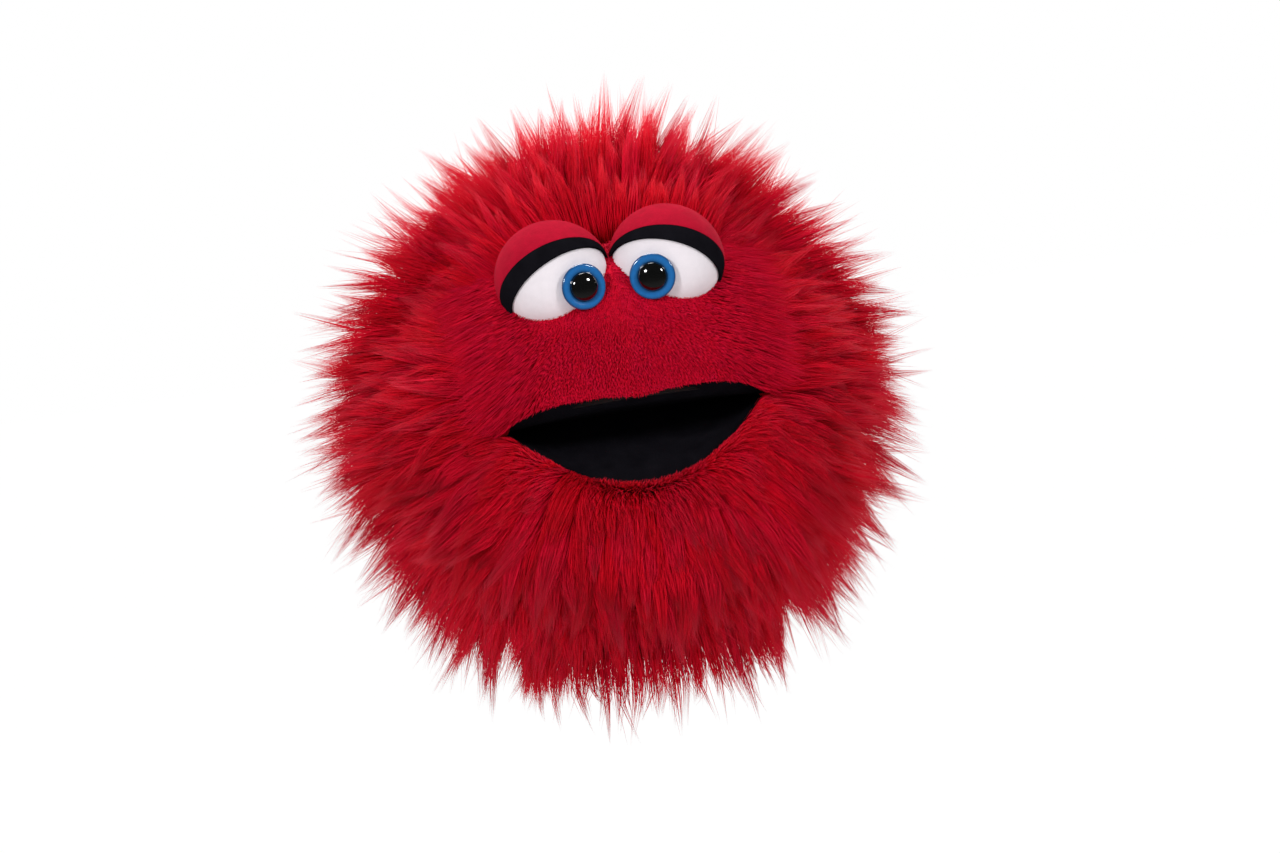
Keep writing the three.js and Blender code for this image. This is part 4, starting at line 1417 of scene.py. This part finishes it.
class PUPPET_OT_stage(bpy.types.Operator):
    """Set up the pale floor, the soft lights and the camera"""

    bl_idname = "puppet.stage"
    bl_label = "Stage"

    def execute(self, context):
        settings = context.scene.puppet_stage
        self.surroundings(settings)
        self.camera(context.scene, settings)
        context.scene.view_settings.view_transform = "Standard"
        return {"FINISHED"}

    @staticmethod
    def surroundings(settings):
        """The floor, pale under the puppet and lost in white further off, the backdrop and the lights."""
        work = bmesh.new()
        bmesh.ops.create_circle(work, cap_ends=True, segments=96, radius=FLOOR_RADIUS)
        bmesh.ops.translate(work, vec=(0, 0, settings.floor), verts=work.verts)
        mesh = bpy.data.meshes.new("floor")
        work.to_mesh(mesh)
        work.free()
        white, shader, wires = new_material("white_floor", 0.9)
        place = wires.add("ShaderNodeTexCoord").outputs["Object"]
        flat = wires.vector("MULTIPLY", place, (1, 1, 0))
        far = wires.range(wires.vector("LENGTH", flat), *FLOOR_FADE)
        mirrored = wires.add("ShaderNodeLightPath").outputs["Is Glossy Ray"]
        shade = wires.mix("MIX", mirrored, (0.85, 0.85, 0.85), (0.08, 0.08, 0.08))
        wires.feed(shader.inputs["Base Color"], wires.mix("MIX", far, shade, (0, 0, 0)))
        wires.feed(shader.inputs["Emission Color"], wires.mix("MIX", far, (0, 0, 0), (1, 1, 1)))
        wires.feed(shader.inputs["Emission Strength"], PUPPET_OT_stage.glow(wires))
        add_object("floor", mesh, white)
        PUPPET_OT_stage.backdrop()
        for name, place, size, power in LIGHTS:
            area_light(name, place, (0, 0, HEAD_Z * MM), size, power)

    @staticmethod
    def backdrop():
        """A white surround, seen bright and lighting the puppet more softly."""
        world = bpy.data.worlds.new("studio")
        bpy.context.scene.world = world
        world.use_nodes = True
        wires = Wires(world.node_tree)
        background = world.node_tree.nodes["Background"]
        background.inputs["Color"].default_value = (1, 1, 1, 1)
        wires.feed(background.inputs["Strength"], PUPPET_OT_stage.glow(wires))

    @staticmethod
    def glow(wires):
        """Bright to the camera, soft as a light, and dim in reflections, as a studio's dark side is."""
        path = wires.add("ShaderNodeLightPath").outputs
        lit = wires.maths("MULTIPLY_ADD", path["Is Camera Ray"], 0.6, 0.4)
        return wires.maths("MULTIPLY_ADD", path["Is Glossy Ray"], -0.36, lit)

    @staticmethod
    def camera(scene, settings):
        """The camera, turned round the head's centre and rolled by the head's lean."""
        azimuth, elevation, roll = settings.azimuth, settings.elevation, settings.roll
        flat = math.cos(elevation)
        ahead = Vector((-math.sin(azimuth) * flat, math.cos(azimuth) * flat, -math.sin(elevation)))
        level = ahead.cross(Vector((0, 0, 1))).normalized()
        upright = level.cross(ahead)
        right = level * math.cos(roll) - upright * math.sin(roll)
        up = level * math.sin(roll) + upright * math.cos(roll)
        target = Vector((0, 0, HEAD_Z * MM)) + right * AIM_RIGHT - up * AIM_DOWN
        data = bpy.data.cameras.new("camera")
        data.lens = data.sensor_width * settings.distance / settings.view_width
        camera = bpy.data.objects.new("camera", data)
        turn = Matrix((right, up, -ahead)).transposed().to_4x4()
        camera.matrix_world = Matrix.Translation(target - ahead * settings.distance) @ turn
        scene.collection.objects.link(camera)
        scene.camera = camera


class PUPPET_PT_panel(bpy.types.Panel):
    """Lists the puppet's pieces"""

    bl_idname = "PUPPET_PT_panel"
    bl_label = "Puppet"
    bl_space_type = "VIEW_3D"
    bl_region_type = "UI"
    bl_category = "Puppet"

    def draw(self, context):
        for operator in OPERATORS:
            self.layout.operator(operator.bl_idname)
        for group in GROUPS:
            settings = getattr(context.scene, group)
            box = self.layout.box()
            for key in settings.__annotations__:
                box.prop(settings, key)


OPERATORS = (
    PUPPET_OT_stage, PUPPET_OT_long_fur, PUPPET_OT_muzzle, PUPPET_OT_eyes, PUPPET_OT_mouth,
    PUPPET_OT_sleeve, PUPPET_OT_inside,
)
GROUPS = {"puppet_fur": PuppetFur, "puppet_face": PuppetFace, "puppet_stage": PuppetStage}


def register():
    for item in (*GROUPS.values(), *OPERATORS, PUPPET_PT_panel):
        bpy.utils.register_class(item)
    for name, group in GROUPS.items():
        setattr(bpy.types.Scene, name, PointerProperty(type=group))


def unregister():
    for name in GROUPS:
        delattr(bpy.types.Scene, name)
    for item in (PUPPET_PT_panel, *reversed(OPERATORS), *GROUPS.values()):
        bpy.utils.unregister_class(item)


def main():
    register()
    for operator in OPERATORS:
        getattr(bpy.ops.puppet, operator.bl_idname.split(".")[1])()


if __name__ == "__main__":
    main()
